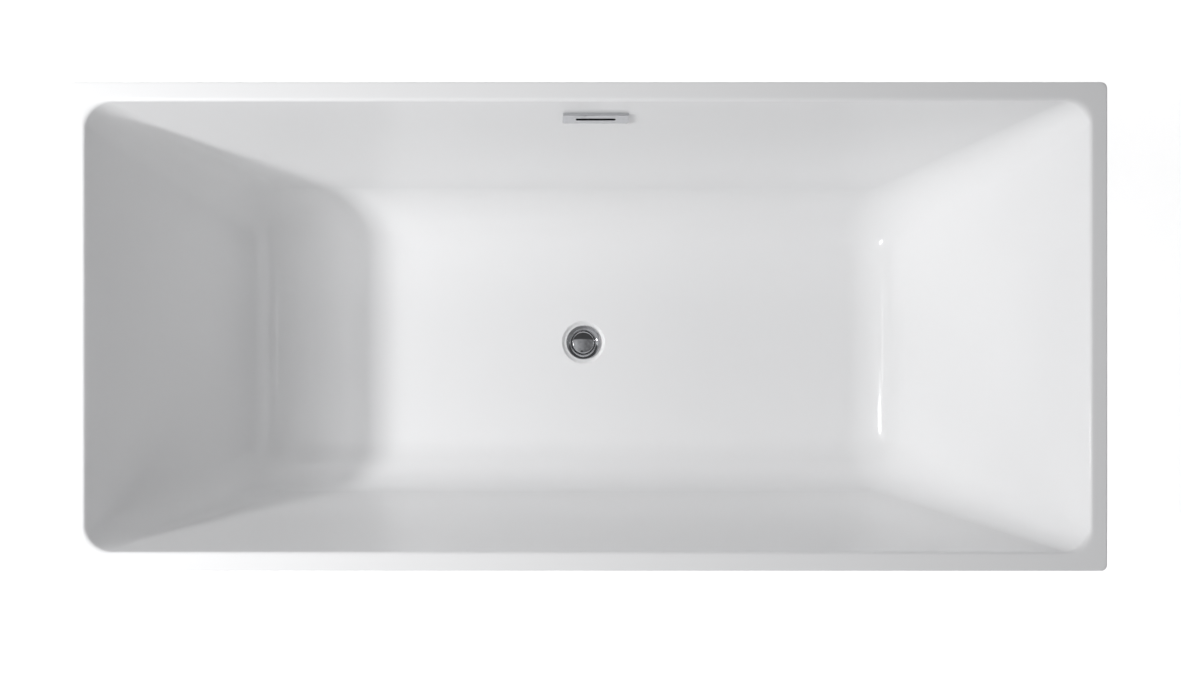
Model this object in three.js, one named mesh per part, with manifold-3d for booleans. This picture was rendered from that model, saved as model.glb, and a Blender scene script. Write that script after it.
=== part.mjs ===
// A freestanding rectangular bathtub of glossy white acrylic: a basin with four sloping walls and a
// flat rim, an outer skirt, a steel frame on levelling feet, a pop-up waste and an overflow.
// Millimetres, +Z up. The origin is on the ground below the middle of the tub, +X runs along the
// tub and +Y points to the back wall, which has the overflow.

import * as THREE from 'three';
import { mergeVertices } from 'three/addons/utils/BufferGeometryUtils.js';
import Module from 'manifold-3d';

const wasm = await Module();
wasm.setup();

const { degToRad } = THREE.MathUtils;

// ---------------------------------------------------------------- driving dimensions

const GAP = 0.3; // between two pieces that touch
const CUT = 5; // how far a cutting solid runs past the face that it opens
const JOIN = 1; // how far a joined solid runs into the other

// The tub over all
const LENGTH = 1700;
const WIDTH = 800;
const BASIN_DEPTH = 430; // from the rim down to the floor of the basin
const FLOOR_HEIGHT = 150; // from the ground up to the floor of the basin

// Basin shell
const SHELL = 6; // acrylic with its fibreglass laminate
const END_RIM = 28; // width of the flat rim at the two ends
const SIDE_RIM = 31; // width of the flat rim along the two sides
const END_SLOPE = degToRad(25.5); // lean of the end walls from upright
const SIDE_SLOPE = degToRad(11.7); // lean of the side walls from upright
const FLOOR_FILLET = 110; // radius between the floor and the walls
const OPENING_CORNER = 43; // corner radius of the opening at the rim
const FLOOR_CORNER = 95; // corner radius that the walls' corner grows to at the floor
const LEAST_CORNER = 12; // corner radius of the flat floor
const RIM_CORNER = 10; // outer corner radius of the rim
const LIP = 5; // thickness of the rim's turned-down lip
const LIP_DEPTH = 15; // height of the lip with the rim

// Outer skirt
const SKIRT = 4.5; // wall
const SKIRT_BOTTOM = 8; // lower edge above the ground
const SKIRT_TAPER_X = 35; // how far each end leans in from top to bottom
const SKIRT_TAPER_Y = 15; // how far each side leans in from top to bottom
const SKIRT_CORNER = 10;
const LEAST_SKIRT_CORNER = 1;
const BOND_FLANGE = 14; // inward flange that is bonded under the rim
const HEM = 20; // inward flange along the lower edge

// Stiffening board under the floor
const BOARD = 15; // thickness
const BOARD_MARGIN = 10; // from the board's edge to the edge of the flat floor
const BOARD_CUTOUT = 60; // radius of the opening round the drain
const BOARD_CORNER = 30;

// Steel frame
const RAIL = 25; // side of the square tube
const RAIL_WALL = 1.5;
const RAIL_OVERHANG = 60; // from each outer cross rail's centre line to the end of the long rails
const FRAME_WIDTH = 440; // between the centre lines of the long rails
const END_RAIL_INSET = 37.5; // from the board's end to the outer cross rail's centre line
const MIDDLE_RAIL_X = -120; // the middle cross rail passes beside the drain
const CAP_HEAD = 3;
const CAP_PLUG = 15;
const CAP_CLEARANCE = 0.4;

// Screws from the cross rails into the board
const SCREW_Y = 100;
const SCREW_RADIUS = 2.5;
const SCREW_HEAD_RADIUS = 5.5;
const SCREW_HEAD = 3;
const SCREW_BITE = 10; // length in the board
const SCREW_CLEARANCE = 0.4;
const SCREW_TIP_ROOM = 1; // past the tip of a screw in its hole

// Levelling feet
const STUD_RADIUS = 5; // M10
const STUD_CLEARANCE = 0.4;
const SLEEVE_RADIUS = 9;
const SLEEVE_LENGTH = 30;
const NUT_RADIUS = 9.8; // over the corners, 17 mm across the flats
const NUT_HEIGHT = 6;
const PAD_RADIUS = 25;
const PAD_EDGE = 4;
const PAD_HEIGHT = 15;
const PAD_NECK = 10;
const PAD_FLOOR = 4; // thickness under the stud's end
const WRENCH_RADIUS = 7.5; // hexagon on the stud, over the corners
const WRENCH_HEIGHT = 7;

// Drain in the floor
const DRAIN_X = 8;
const RECESS_RADIUS = 41;
const RECESS_DEPTH = 4.5;
const DRAIN_HOLE = 26.5; // radius of the hole in the floor
const FLANGE_RADIUS = 35;
const FLANGE_LIFT = 1.8; // underside of the flange above the recess
const FLANGE_CROWN = 2.2; // rise of the flange above its underside
const FLANGE_CHAMFER = 1;
const FLANGE_LAND = 4; // from the flange's edge to where its top begins to dip
const FLANGE_LAND_FALL = 0.4; // from the chamfer to the end of the land
const FLANGE_DIP = 7.5; // from the flange's edge to the foot of the dip
const FUNNEL_WALL = 1;
const FUNNEL_RADIUS = 25.5; // outside of the funnel where it passes the floor
const THREAD_RADIUS = 22.5;
const THROAT_RADIUS = 19.5;
const TAIL_LENGTH = 45; // from the recess down to the end of the thread
const SPIDER_BAR = 5; // the crossed bars that carry the cartridge
const SPIDER_HUB = 8;
const SPIDER_RISE = 7; // underside of the bars above the end of the thread
const SEAL_HEIGHT = 1.2;
const SEAL_INSET = 1; // the seal's edge inside the flange's edge
const GASKET_RADIUS = 38;
const GASKET_HEIGHT = 3;

// Pop-up plug
const PLUG_RADIUS = 23;
const PLUG_EDGE = 1.4;
const PLUG_CROWN = 4; // rise of the dome over its edge
const DOME_STEPS = 5;
const PLUG_LIFT = 1; // underside of the plug's edge above the recess
const PLUG_NECK = 14.5;
const PLUG_NECK_HEIGHT = 3.6;
const PLUG_SEAL = 20.8;
const PLUG_SEAL_HEIGHT = 2;
const STEM_RADIUS = 3.2;
const STEM_END_ROOM = 1; // below the stem when the plug is down
const STEM_CLEARANCE = 0.4;
const CARTRIDGE_RADIUS = 7.5;
const CARTRIDGE_HEIGHT = 22;
const CARTRIDGE_FLOOR = 3;

// Waste body and elbow under the drain
const BODY_FLANGE = 4;
const BODY_RADIUS = 27;
const BODY_NECK = 24;
const BODY_NECK_HEIGHT = 13;
const BODY_BORE = 19;
const THREAD_CLEARANCE = 0.4;
const PORT_REACH = 60; // from the drain's axis to the end of the side port
const HOSE_DROP = 7; // from the rails down to the hose
const PORT_TO_NECK = 22; // from the port's axis down to the end of the waste body
const PIPE_RADIUS = 20;
const PIPE_WALL = 2.5;
const COLLAR_HEIGHT = 5.7;
const ELBOW_BEND = 24; // radius of the elbow's centre line
const ELBOW_REACH = 95; // from the drain's axis to the outlet's end face
const UNION_WALL = 4.5;
const UNION_LIP = 4.5;
const UNION_COVER = 10; // height of the nut on the waste body

// Overflow in the back wall
const OVERFLOW_X = 16;
const OVERFLOW_DROP = 55; // from the rim down to the overflow's centre
const COVER_WIDTH = 111;
const COVER_HEIGHT = 30;
const COVER_DEPTH = 4.8;
const COVER_WALL = 1.2;
const COVER_CORNER = 3;
const SLOT_WIDTH = 67;
const SLOT_HEIGHT = 7;
const SLOT_CORNER = 1;
const WALL_HOLE_WIDTH = 82;
const WALL_HOLE_HEIGHT = 18;
const WALL_HOLE_CORNER = 8;
const HOUSING_WIDTH = 106;
const HOUSING_HEIGHT = 38;
const HOUSING_OFF_SKIRT = 3.8;
const HOUSING_WALL = 2.5;
const HOUSING_CORNER = 6;
const HOUSING_OVER_HOLE = 1; // its cavity runs past each end of the wall's hole
const OVERFLOW_GASKET = 2;
const OVERFLOW_GASKET_HEIGHT = 30;
const OVERFLOW_GASKET_INSET = 1; // its ends inside the housing's ends
const OVERFLOW_SCREW_X = 47; // each side of the overflow's centre
const OVERFLOW_SCREW_RADIUS = 2;
const OVERFLOW_SCREW_HEAD_RADIUS = 3.6;
const OVERFLOW_SCREW_HEAD = 2.4;

// Overflow hose
const HOSE_RADIUS = 10;
const HOSE_WALL = 1.8;
const SPIGOT_CLEARANCE = 0.6;
const SPIGOT_WALL = 2;
const SPIGOT_LENGTH = 42; // from the housing down to the spigot's end
const HOSE_OVERLAP = 18; // length of hose on each spigot
const HOSE_STRAIGHT = 45; // straight run at each end of the hose
const HOSE_KNEE = 90; // how far the hose's bend reaches from its corner
const HOSE_OFF_SKIRT = 30; // from the skirt to the hose's centre line at the knee
const CLAMP_WALL = 1.6;
const CLAMP_WIDTH = 9;

// How finely round forms are divided
const CORNER_STEPS = 5;
const FILLET_STEPS = 6;
const FINE_SIDES = 24;
const ROUND_SIDES = 16;
const SMALL_SIDES = 12;
const HOSE_SIDES = 12;
const HOSE_STEPS = 20;
const ELBOW_STEPS = 11;

// ---------------------------------------------------------------- levels and lines worked out

const HEIGHT = BASIN_DEPTH + FLOOR_HEIGHT;
const OPENING_X = LENGTH / 2 - END_RIM;
const OPENING_Y = WIDTH / 2 - SIDE_RIM;
const RECESS = FLOOR_HEIGHT - RECESS_DEPTH;
const RECESS_UNDER = RECESS - SHELL;
const BOARD_TOP = FLOOR_HEIGHT - SHELL - GAP;
const RAIL_TOP = BOARD_TOP - BOARD - GAP;
const RAIL_BOTTOM = RAIL_TOP - RAIL;
const RAIL_Y = FRAME_WIDTH / 2;
const SLEEVE_TOP = RAIL_BOTTOM - GAP;
const SLEEVE_BOTTOM = SLEEVE_TOP - SLEEVE_LENGTH;
const NUT_BOTTOM = SLEEVE_BOTTOM - GAP - NUT_HEIGHT;
const SKIRT_TOP = HEIGHT - SHELL - GAP;
const PORT_Z = RAIL_BOTTOM - HOSE_DROP - HOSE_RADIUS;
const BODY_BOTTOM = PORT_Z - PORT_TO_NECK;
const SPIGOT_RADIUS = HOSE_RADIUS - HOSE_WALL - SPIGOT_CLEARANCE;
const HOUSING_FRONT = SHELL + GAP + OVERFLOW_GASKET + GAP; // behind the wall's inner face

// ---------------------------------------------------------------- materials

const material = (color, roughness, metalness = 0) =>
  new THREE.MeshStandardMaterial({ color, roughness, metalness });

const acrylic = material(0xf4f4f5, 0.12);
const plywood = material(0xb08a5a, 0.7);
const galvanised = material(0xa9adb0, 0.45, 0.9);
const zinc = material(0xc2c4c6, 0.35, 0.9);
const chrome = material(0xd8dadd, 0.06, 1);
const brass = material(0xb5903f, 0.3, 1);
const rubber = material(0x1b1b1c, 0.8);
const foam = material(0xd9d9d6, 0.9);
const blackPlastic = material(0x222324, 0.5);
const whitePlastic = material(0xe4e5e5, 0.4);
const greyPlastic = material(0x9a9da0, 0.5);

// ---------------------------------------------------------------- shaping helpers

/** Turns a closed geometry into a solid that can be joined and cut. */
function solid(geometry) {
  geometry.deleteAttribute('normal');
  geometry.deleteAttribute('uv');
  const { attributes, index } = mergeVertices(geometry, 1e-4);
  const corners = [];
  for (let i = 0; i < index.count; i += 3) {
    const [a, b, c] = [index.getX(i), index.getX(i + 1), index.getX(i + 2)];
    if (a !== b && b !== c && c !== a) corners.push(a, b, c);
  }
  return new wasm.Manifold(new wasm.Mesh({
    numProp: 3,
    vertProperties: Float32Array.from(attributes.position.array),
    triVerts: Uint32Array.from(corners),
  }));
}

/** Turns a solid back into a geometry. */
function skin(body) {
  const mesh = body.getMesh();
  const geometry = new THREE.BufferGeometry();
  geometry.setAttribute('position', new THREE.BufferAttribute(mesh.vertProperties, 3));
  geometry.setIndex(new THREE.BufferAttribute(mesh.triVerts, 1));
  geometry.computeVertexNormals();
  return geometry;
}

/** The corner points of a rounded rectangle, anticlockwise, with a quarter circle at each corner. */
function roundedRectangle({ halfX, halfY, corner }) {
  const points = [];
  for (let quarter = 0; quarter < 4; quarter += 1) {
    const signX = quarter === 0 || quarter === 3 ? 1 : -1;
    const signY = quarter < 2 ? 1 : -1;
    for (let step = 0; step <= CORNER_STEPS; step += 1) {
      const angle = ((quarter + step / CORNER_STEPS) * Math.PI) / 2;
      points.push(new THREE.Vector2(
        signX * (halfX - corner) + corner * Math.cos(angle),
        signY * (halfY - corner) + corner * Math.sin(angle),
      ));
    }
  }
  return points;
}

/** A solid through rounded rectangles that lie one above the other, given from the bottom up. */
function loft(sections) {
  const positions = [];
  for (const section of sections) {
    for (const point of roundedRectangle(section)) positions.push(point.x, point.y, section.z);
  }
  const ring = positions.length / 3 / sections.length;
  const last = (sections.length - 1) * ring;
  const triangles = [];
  for (let i = 0; i < ring; i += 1) {
    const next = (i + 1) % ring;
    for (let low = 0; low < last; low += ring) {
      triangles.push(low + i, low + next, low + ring + next);
      triangles.push(low + i, low + ring + next, low + ring + i);
    }
  }
  for (let i = 1; i < ring - 1; i += 1) {
    triangles.push(0, i + 1, i);
    triangles.push(last, last + i, last + i + 1);
  }
  const geometry = new THREE.BufferGeometry();
  geometry.setAttribute('position', new THREE.Float32BufferAttribute(positions, 3));
  geometry.setIndex(triangles);
  return solid(geometry);
}

/** An upright prism on a rounded rectangle. */
const slab = (halfX, halfY, corner, bottom, top) =>
  loft([{ halfX, halfY, corner, z: bottom }, { halfX, halfY, corner, z: top }]);

/** A turned solid: its profile lists [radius, height] round the section, anticlockwise. */
function turned(profile, sides = FINE_SIDES) {
  const points = profile.map(([radius, height]) => new THREE.Vector2(radius, height));
  if (profile[0][0] > 0) points.push(points[0].clone());
  return solid(new THREE.LatheGeometry(points, sides).rotateX(Math.PI / 2));
}

/** A plain ring or, with no inner radius, a disc. */
function ring(outer, inner, bottom, top, sides = FINE_SIDES) {
  if (inner === 0) return turned([[0, bottom], [outer, bottom], [outer, top], [0, top]], sides);
  return turned([[outer, bottom], [outer, top], [inner, top], [inner, bottom]], sides);
}

/** A box from its size and the middle of it. */
const block = (sizeX, sizeY, sizeZ, x = 0, y = 0, z = 0) =>
  solid(new THREE.BoxGeometry(sizeX, sizeY, sizeZ).translate(x, y, z));

/** The corner points of a regular polygon. */
const polygon = (radius, sides) => Array.from({ length: sides }, (_, i) => new THREE.Vector2(
  radius * Math.cos((2 * Math.PI * i) / sides),
  radius * Math.sin((2 * Math.PI * i) / sides),
));

/** A tube along a path. */
function tube(path, outer, inner, sides, steps) {
  const section = new THREE.Shape(polygon(outer, sides));
  section.holes.push(new THREE.Path(polygon(inner, sides)));
  return solid(new THREE.ExtrudeGeometry(section, { extrudePath: path, steps, bevelEnabled: false }));
}

/** An arc in a corner between two directions, which touches both lines a reach from the corner. */
class Bend extends THREE.Curve {
  constructor(corner, towardsStart, towardsEnd, reach) {
    super();
    const half = towardsStart.angleTo(towardsEnd) / 2;
    this.radius = reach * Math.tan(half);
    this.turn = Math.PI - 2 * half;
    this.centre = towardsStart.clone().add(towardsEnd).setLength(reach / Math.cos(half)).add(corner);
    this.along = towardsStart.clone().negate();
    this.out = corner.clone().addScaledVector(towardsStart, reach).sub(this.centre).normalize();
  }

  getPoint(t, target = new THREE.Vector3()) {
    return target.copy(this.centre)
      .addScaledVector(this.out, this.radius * Math.cos(this.turn * t))
      .addScaledVector(this.along, this.radius * Math.sin(this.turn * t));
  }
}

/** A path of two straight runs with an arc between them, which starts a reach from their corner. */
function bentPath(start, corner, end, reach) {
  const towardsStart = start.clone().sub(corner).normalize();
  const towardsEnd = end.clone().sub(corner).normalize();
  const path = new THREE.CurvePath();
  path.add(new THREE.LineCurve3(start, corner.clone().addScaledVector(towardsStart, reach)));
  path.add(new Bend(corner, towardsStart, towardsEnd, reach));
  path.add(new THREE.LineCurve3(corner.clone().addScaledVector(towardsEnd, reach), end));
  return path;
}

const tub = new THREE.Group();

/** Names a piece, gives it its material and puts it in the tub or in one of its groups. */
function place(name, body, finish, x = 0, y = 0, z = 0, parent = tub) {
  const mesh = new THREE.Mesh(skin(body), finish);
  mesh.name = name;
  mesh.position.set(x, y, z);
  parent.add(mesh);
}

// ---------------------------------------------------------------- basin shell

/** Where a wall's plane stands from the middle, at a height above the basin's floor. */
const wallPlane = (height, half, slope, offset) =>
  half - (BASIN_DEPTH - height) * Math.tan(slope) + offset / Math.cos(slope);

/** The same with the fillet to the floor, whose centre lies one radius above the floor. */
function wallLine(height, half, slope, offset) {
  const radius = FLOOR_FILLET + offset;
  if (height >= FLOOR_FILLET - radius * Math.sin(slope)) return wallPlane(height, half, slope, offset);
  const centre = wallPlane(0, half, slope, 0) - FLOOR_FILLET * Math.tan(Math.PI / 4 - slope / 2);
  return centre + Math.sqrt(Math.max(radius ** 2 - (FLOOR_FILLET - height) ** 2, 0));
}

/** The basin's section at a height above its floor; the offset is 0 inside and SHELL outside. */
function basinSection(height, offset) {
  const halfX = wallLine(height, OPENING_X, END_SLOPE, offset);
  const halfY = wallLine(height, OPENING_Y, SIDE_SLOPE, offset);
  const inset = (wallPlane(height, OPENING_X, END_SLOPE, offset) - halfX
    + wallPlane(height, OPENING_Y, SIDE_SLOPE, offset) - halfY) / 2;
  const cone = FLOOR_CORNER + ((OPENING_CORNER - FLOOR_CORNER) * height) / BASIN_DEPTH;
  const corner = Math.max(cone - inset, LEAST_CORNER) + offset;
  return { halfX, halfY, corner, z: FLOOR_HEIGHT + height };
}

/** The basin's inside or outside as a solid, up to a height above its floor. */
function basinForm(offset, top) {
  const sections = [];
  const turn = Math.PI / 2 - Math.min(END_SLOPE, SIDE_SLOPE);
  for (let step = 0; step <= FILLET_STEPS; step += 1) {
    const angle = (turn * step) / FILLET_STEPS;
    sections.push(basinSection(FLOOR_FILLET - (FLOOR_FILLET + offset) * Math.cos(angle), offset));
  }
  sections.push(basinSection(top, offset));
  return loft(sections);
}

// A point on the back wall's inner face, and the tilt of that wall. In this tilted frame +Y runs
// out through the wall and +Z runs up along it.
const OVERFLOW_Y = wallPlane(BASIN_DEPTH - OVERFLOW_DROP, OPENING_Y, SIDE_SLOPE, 0);
const OVERFLOW_Z = HEIGHT - OVERFLOW_DROP;
const backWall = new THREE.Group();
backWall.position.set(OVERFLOW_X, OVERFLOW_Y, OVERFLOW_Z);
backWall.rotation.x = -SIDE_SLOPE;
tub.add(backWall);
backWall.updateMatrix();

/** A flat piece on the back wall: a rounded rectangle that runs from one depth to another. */
const wallPlate = (width, height, corner, from, to) =>
  slab(width / 2, height / 2, corner, -to, -from).rotate([90, 0, 0]);

/** A round piece on the back wall, between two depths. */
const wallDisc = (radius, x, from, to) =>
  ring(radius, 0, -to, -from, SMALL_SIDES).rotate([90, 0, 0]).translate([x, 0, 0]);

const onBackWall = (body) => body.transform(backWall.matrix.toArray());

const wallHole = (from, to) =>
  wallPlate(WALL_HOLE_WIDTH, WALL_HOLE_HEIGHT, WALL_HOLE_CORNER, from, to);
const screwHoles = (from, to) => [-OVERFLOW_SCREW_X, OVERFLOW_SCREW_X]
  .map((x) => wallDisc(OVERFLOW_SCREW_RADIUS + SCREW_CLEARANCE, x, from, to));

function basinShell() {
  const under = slab(
    LENGTH / 2 - LIP, WIDTH / 2 - LIP, RIM_CORNER - LIP, HEIGHT - LIP_DEPTH - CUT, HEIGHT - SHELL,
  );
  let shell = slab(LENGTH / 2, WIDTH / 2, RIM_CORNER, HEIGHT - LIP_DEPTH, HEIGHT)
    .subtract(under)
    .add(basinForm(SHELL, BASIN_DEPTH - SHELL / 2))
    .add(ring(RECESS_RADIUS + SHELL, 0, RECESS_UNDER, FLOOR_HEIGHT - SHELL / 2).translate([DRAIN_X, 0, 0]))
    .subtract(basinForm(0, BASIN_DEPTH + CUT))
    .subtract(ring(RECESS_RADIUS, 0, RECESS, FLOOR_HEIGHT + CUT).translate([DRAIN_X, 0, 0]))
    .subtract(ring(DRAIN_HOLE, 0, RECESS_UNDER - CUT, RECESS + CUT).translate([DRAIN_X, 0, 0]));
  for (const hole of [wallHole(-CUT, SHELL + CUT), ...screwHoles(-CUT, SHELL + CUT)]) {
    shell = shell.subtract(onBackWall(hole));
  }
  return shell;
}

place('basin_shell', basinShell(), acrylic);

// ---------------------------------------------------------------- outer skirt

/** The skirt's half length and half width at a height, less an inward offset. */
function skirtSection(z, offset) {
  const lean = (SKIRT_TOP - z) / (SKIRT_TOP - SKIRT_BOTTOM);
  return {
    halfX: LENGTH / 2 - LIP - GAP - SKIRT_TAPER_X * lean - offset,
    halfY: WIDTH / 2 - LIP - GAP - SKIRT_TAPER_Y * lean - offset,
    corner: Math.max(SKIRT_CORNER - offset, LEAST_SKIRT_CORNER),
    z,
  };
}

/** An upright opening that leaves a flange of a given width in the skirt's top or bottom. */
function flangeOpening(z, flange) {
  const { halfX, halfY, corner } = skirtSection(z, flange);
  return slab(halfX, halfY, corner, z - CUT - SKIRT, z + CUT + SKIRT);
}

function outerSkirt() {
  const outside = loft([skirtSection(SKIRT_BOTTOM, 0), skirtSection(SKIRT_TOP, 0)]);
  const inside = loft([
    skirtSection(SKIRT_BOTTOM + SKIRT, SKIRT), skirtSection(SKIRT_TOP - SKIRT, SKIRT),
  ]);
  return outside.subtract(inside)
    .subtract(flangeOpening(SKIRT_TOP, BOND_FLANGE))
    .subtract(flangeOpening(SKIRT_BOTTOM, HEM));
}

place('outer_skirt', outerSkirt(), acrylic);

// ---------------------------------------------------------------- board and frame

const flatFloor = basinSection(0, 0);
const BOARD_X = flatFloor.halfX - BOARD_MARGIN;
const BOARD_Y = flatFloor.halfY - BOARD_MARGIN;
const END_RAIL_X = BOARD_X - END_RAIL_INSET;
const FRAME_LENGTH = 2 * (END_RAIL_X + RAIL_OVERHANG);
const screwPlaces = [-END_RAIL_X, END_RAIL_X].flatMap((x) => [[x, -SCREW_Y], [x, SCREW_Y]]);

const boardCutout = ring(BOARD_CUTOUT, 0, BOARD_TOP - BOARD - CUT, BOARD_TOP + CUT);

function baseBoard() {
  let board = slab(BOARD_X, BOARD_Y, BOARD_CORNER, BOARD_TOP - BOARD, BOARD_TOP)
    .subtract(boardCutout.translate([DRAIN_X, 0, 0]));
  for (const [x, y] of screwPlaces) {
    const pilot = ring(
      SCREW_RADIUS + SCREW_CLEARANCE, 0,
      BOARD_TOP - BOARD - CUT, BOARD_TOP - BOARD + SCREW_BITE + SCREW_TIP_ROOM,
      SMALL_SIDES,
    );
    board = board.subtract(pilot.translate([x, y, 0]));
  }
  return board;
}

place('base_board', baseBoard(), plywood);

/** A square tube along X, open at both ends, with its middle at the origin. */
const squareTube = (length) => block(length, RAIL, RAIL)
  .subtract(block(length + 2 * CUT, RAIL - 2 * RAIL_WALL, RAIL - 2 * RAIL_WALL));

/** A cross rail along Y, with its screw holes if it is screwed to the board. */
function crossRail(screwed) {
  const length = FRAME_WIDTH - RAIL - 2 * GAP;
  let rail = squareTube(length).rotate([0, 0, 90]);
  for (const y of screwed ? [-SCREW_Y, SCREW_Y] : []) {
    const hole = ring(SCREW_RADIUS + SCREW_CLEARANCE, 0, -RAIL, RAIL, SMALL_SIDES);
    rail = rail.subtract(hole.translate([0, y, 0]));
  }
  return rail;
}

const RAIL_MIDDLE = RAIL_TOP - RAIL / 2;
place('long_rail_front', squareTube(FRAME_LENGTH), galvanised, 0, -RAIL_Y, RAIL_MIDDLE);
place('long_rail_back', squareTube(FRAME_LENGTH), galvanised, 0, RAIL_Y, RAIL_MIDDLE);
place('cross_rail_left', crossRail(true), galvanised, -END_RAIL_X, 0, RAIL_MIDDLE);
place('cross_rail_middle', crossRail(false), galvanised, MIDDLE_RAIL_X, 0, RAIL_MIDDLE);
place('cross_rail_right', crossRail(true), galvanised, END_RAIL_X, 0, RAIL_MIDDLE);

/** A plastic plug for a rail's end at +X: a flat head and a square plug in the tube. */
function railCap() {
  const plug = RAIL - 2 * RAIL_WALL - 2 * CAP_CLEARANCE;
  return block(CAP_HEAD, RAIL, RAIL, GAP + CAP_HEAD / 2)
    .add(block(CAP_PLUG + JOIN, plug, plug, (JOIN - CAP_PLUG) / 2));
}

for (const [side, y] of [['front', -RAIL_Y], ['back', RAIL_Y]]) {
  const end = FRAME_LENGTH / 2;
  place(`rail_cap_${side}_right`, railCap(), blackPlastic, end, y, RAIL_MIDDLE);
  place(`rail_cap_${side}_left`, railCap().rotate([0, 0, 180]), blackPlastic, -end, y, RAIL_MIDDLE);
}

/** A screw that comes up through a cross rail and bites in the board. Its head's top is at zero. */
const frameScrew = turned([
  [0, -SCREW_HEAD], [SCREW_HEAD_RADIUS, -SCREW_HEAD], [SCREW_HEAD_RADIUS, 0], [SCREW_RADIUS, 0],
  [SCREW_RADIUS, RAIL + 2 * GAP + SCREW_BITE], [0, RAIL + 2 * GAP + SCREW_BITE],
], SMALL_SIDES);

screwPlaces.forEach(([x, y], i) => {
  place(`frame_screw_${i + 1}`, frameScrew, zinc, x, y, RAIL_BOTTOM - GAP);
});

// ---------------------------------------------------------------- levelling feet

/** A hexagonal prism with a round hole. */
function hexagon(radius, hole, bottom, top) {
  const prism = ring(radius, 0, bottom, top, 6);
  return hole > 0 ? prism.subtract(ring(hole, 0, bottom - CUT, top + CUT, ROUND_SIDES)) : prism;
}

const studHole = STUD_RADIUS + STUD_CLEARANCE;
const footSleeve = ring(SLEEVE_RADIUS, studHole, SLEEVE_BOTTOM, SLEEVE_TOP, ROUND_SIDES);
const footNut = hexagon(NUT_RADIUS, studHole, NUT_BOTTOM, NUT_BOTTOM + NUT_HEIGHT);
const footStud = ring(STUD_RADIUS, 0, PAD_FLOOR + GAP, SLEEVE_TOP - GAP, SMALL_SIDES)
  .add(hexagon(WRENCH_RADIUS, 0, PAD_HEIGHT + GAP, PAD_HEIGHT + GAP + WRENCH_HEIGHT));
const footPad = turned([
  [0, 0], [PAD_RADIUS, 0], [PAD_RADIUS, PAD_EDGE], [PAD_NECK, PAD_HEIGHT], [studHole, PAD_HEIGHT],
  [studHole, PAD_FLOOR], [0, PAD_FLOOR],
], ROUND_SIDES);

for (const [side, y] of [['front', -RAIL_Y], ['back', RAIL_Y]]) {
  for (const [where, x] of [['left', -END_RAIL_X], ['middle', MIDDLE_RAIL_X], ['right', END_RAIL_X]]) {
    place(`foot_sleeve_${side}_${where}`, footSleeve, zinc, x, y);
    place(`foot_nut_${side}_${where}`, footNut, zinc, x, y);
    place(`foot_stud_${side}_${where}`, footStud, zinc, x, y);
    place(`foot_pad_${side}_${where}`, footPad, blackPlastic, x, y);
  }
}

// ---------------------------------------------------------------- drain, from the recess down

const drain = new THREE.Group();
drain.position.set(DRAIN_X, 0, RECESS);
tub.add(drain);

const FLANGE_TOP = FLANGE_LIFT + FLANGE_CROWN;
const DIP_Z = 0.5; // the flange's dip turns into the funnel here
const SEAT_Z = -1.5; // the plug's seal meets the funnel here
const SEAT_RADIUS = THREAD_RADIUS - 0.6;
const NECK_Z = -4; // the funnel ends here

/** The dished chrome ring with its funnel, its thread and the crossed bars in it. */
function drainFlange() {
  const bars = -TAIL_LENGTH + SPIDER_RISE + SPIDER_BAR / 2;
  const reach = THROAT_RADIUS + THREAD_RADIUS;
  return turned([
    [THROAT_RADIUS, -TAIL_LENGTH], [THREAD_RADIUS, -TAIL_LENGTH], [THREAD_RADIUS, NECK_Z],
    [FUNNEL_RADIUS, SEAT_Z], [FUNNEL_RADIUS, FLANGE_LIFT], [FLANGE_RADIUS, FLANGE_LIFT],
    [FLANGE_RADIUS, FLANGE_TOP - FLANGE_CHAMFER], [FLANGE_RADIUS - FLANGE_CHAMFER, FLANGE_TOP],
    [FLANGE_RADIUS - FLANGE_LAND, FLANGE_TOP - FLANGE_LAND_FALL],
    [FLANGE_RADIUS - FLANGE_DIP, FLANGE_LIFT + FLANGE_LAND_FALL],
    [FUNNEL_RADIUS - FUNNEL_WALL, DIP_Z], [SEAT_RADIUS, SEAT_Z], [THROAT_RADIUS, NECK_Z],
  ]).add(block(reach, SPIDER_BAR, SPIDER_BAR, 0, 0, bars))
    .add(block(SPIDER_BAR, reach, SPIDER_BAR, 0, 0, bars))
    .add(ring(SPIDER_HUB, 0, bars - SPIDER_BAR / 2, bars + SPIDER_BAR / 2, ROUND_SIDES));
}

const CARTRIDGE_BOTTOM = -TAIL_LENGTH + SPIDER_RISE + SPIDER_BAR + GAP;
const CARTRIDGE_BORE = STEM_RADIUS + STEM_CLEARANCE;
const cartridge = turned([
  [0, CARTRIDGE_BOTTOM], [CARTRIDGE_RADIUS, CARTRIDGE_BOTTOM],
  [CARTRIDGE_RADIUS, CARTRIDGE_BOTTOM + CARTRIDGE_HEIGHT],
  [CARTRIDGE_BORE, CARTRIDGE_BOTTOM + CARTRIDGE_HEIGHT],
  [CARTRIDGE_BORE, CARTRIDGE_BOTTOM + CARTRIDGE_FLOOR], [0, CARTRIDGE_BOTTOM + CARTRIDGE_FLOOR],
], ROUND_SIDES);

const NECK_BOTTOM = PLUG_LIFT - PLUG_NECK_HEIGHT;

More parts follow.
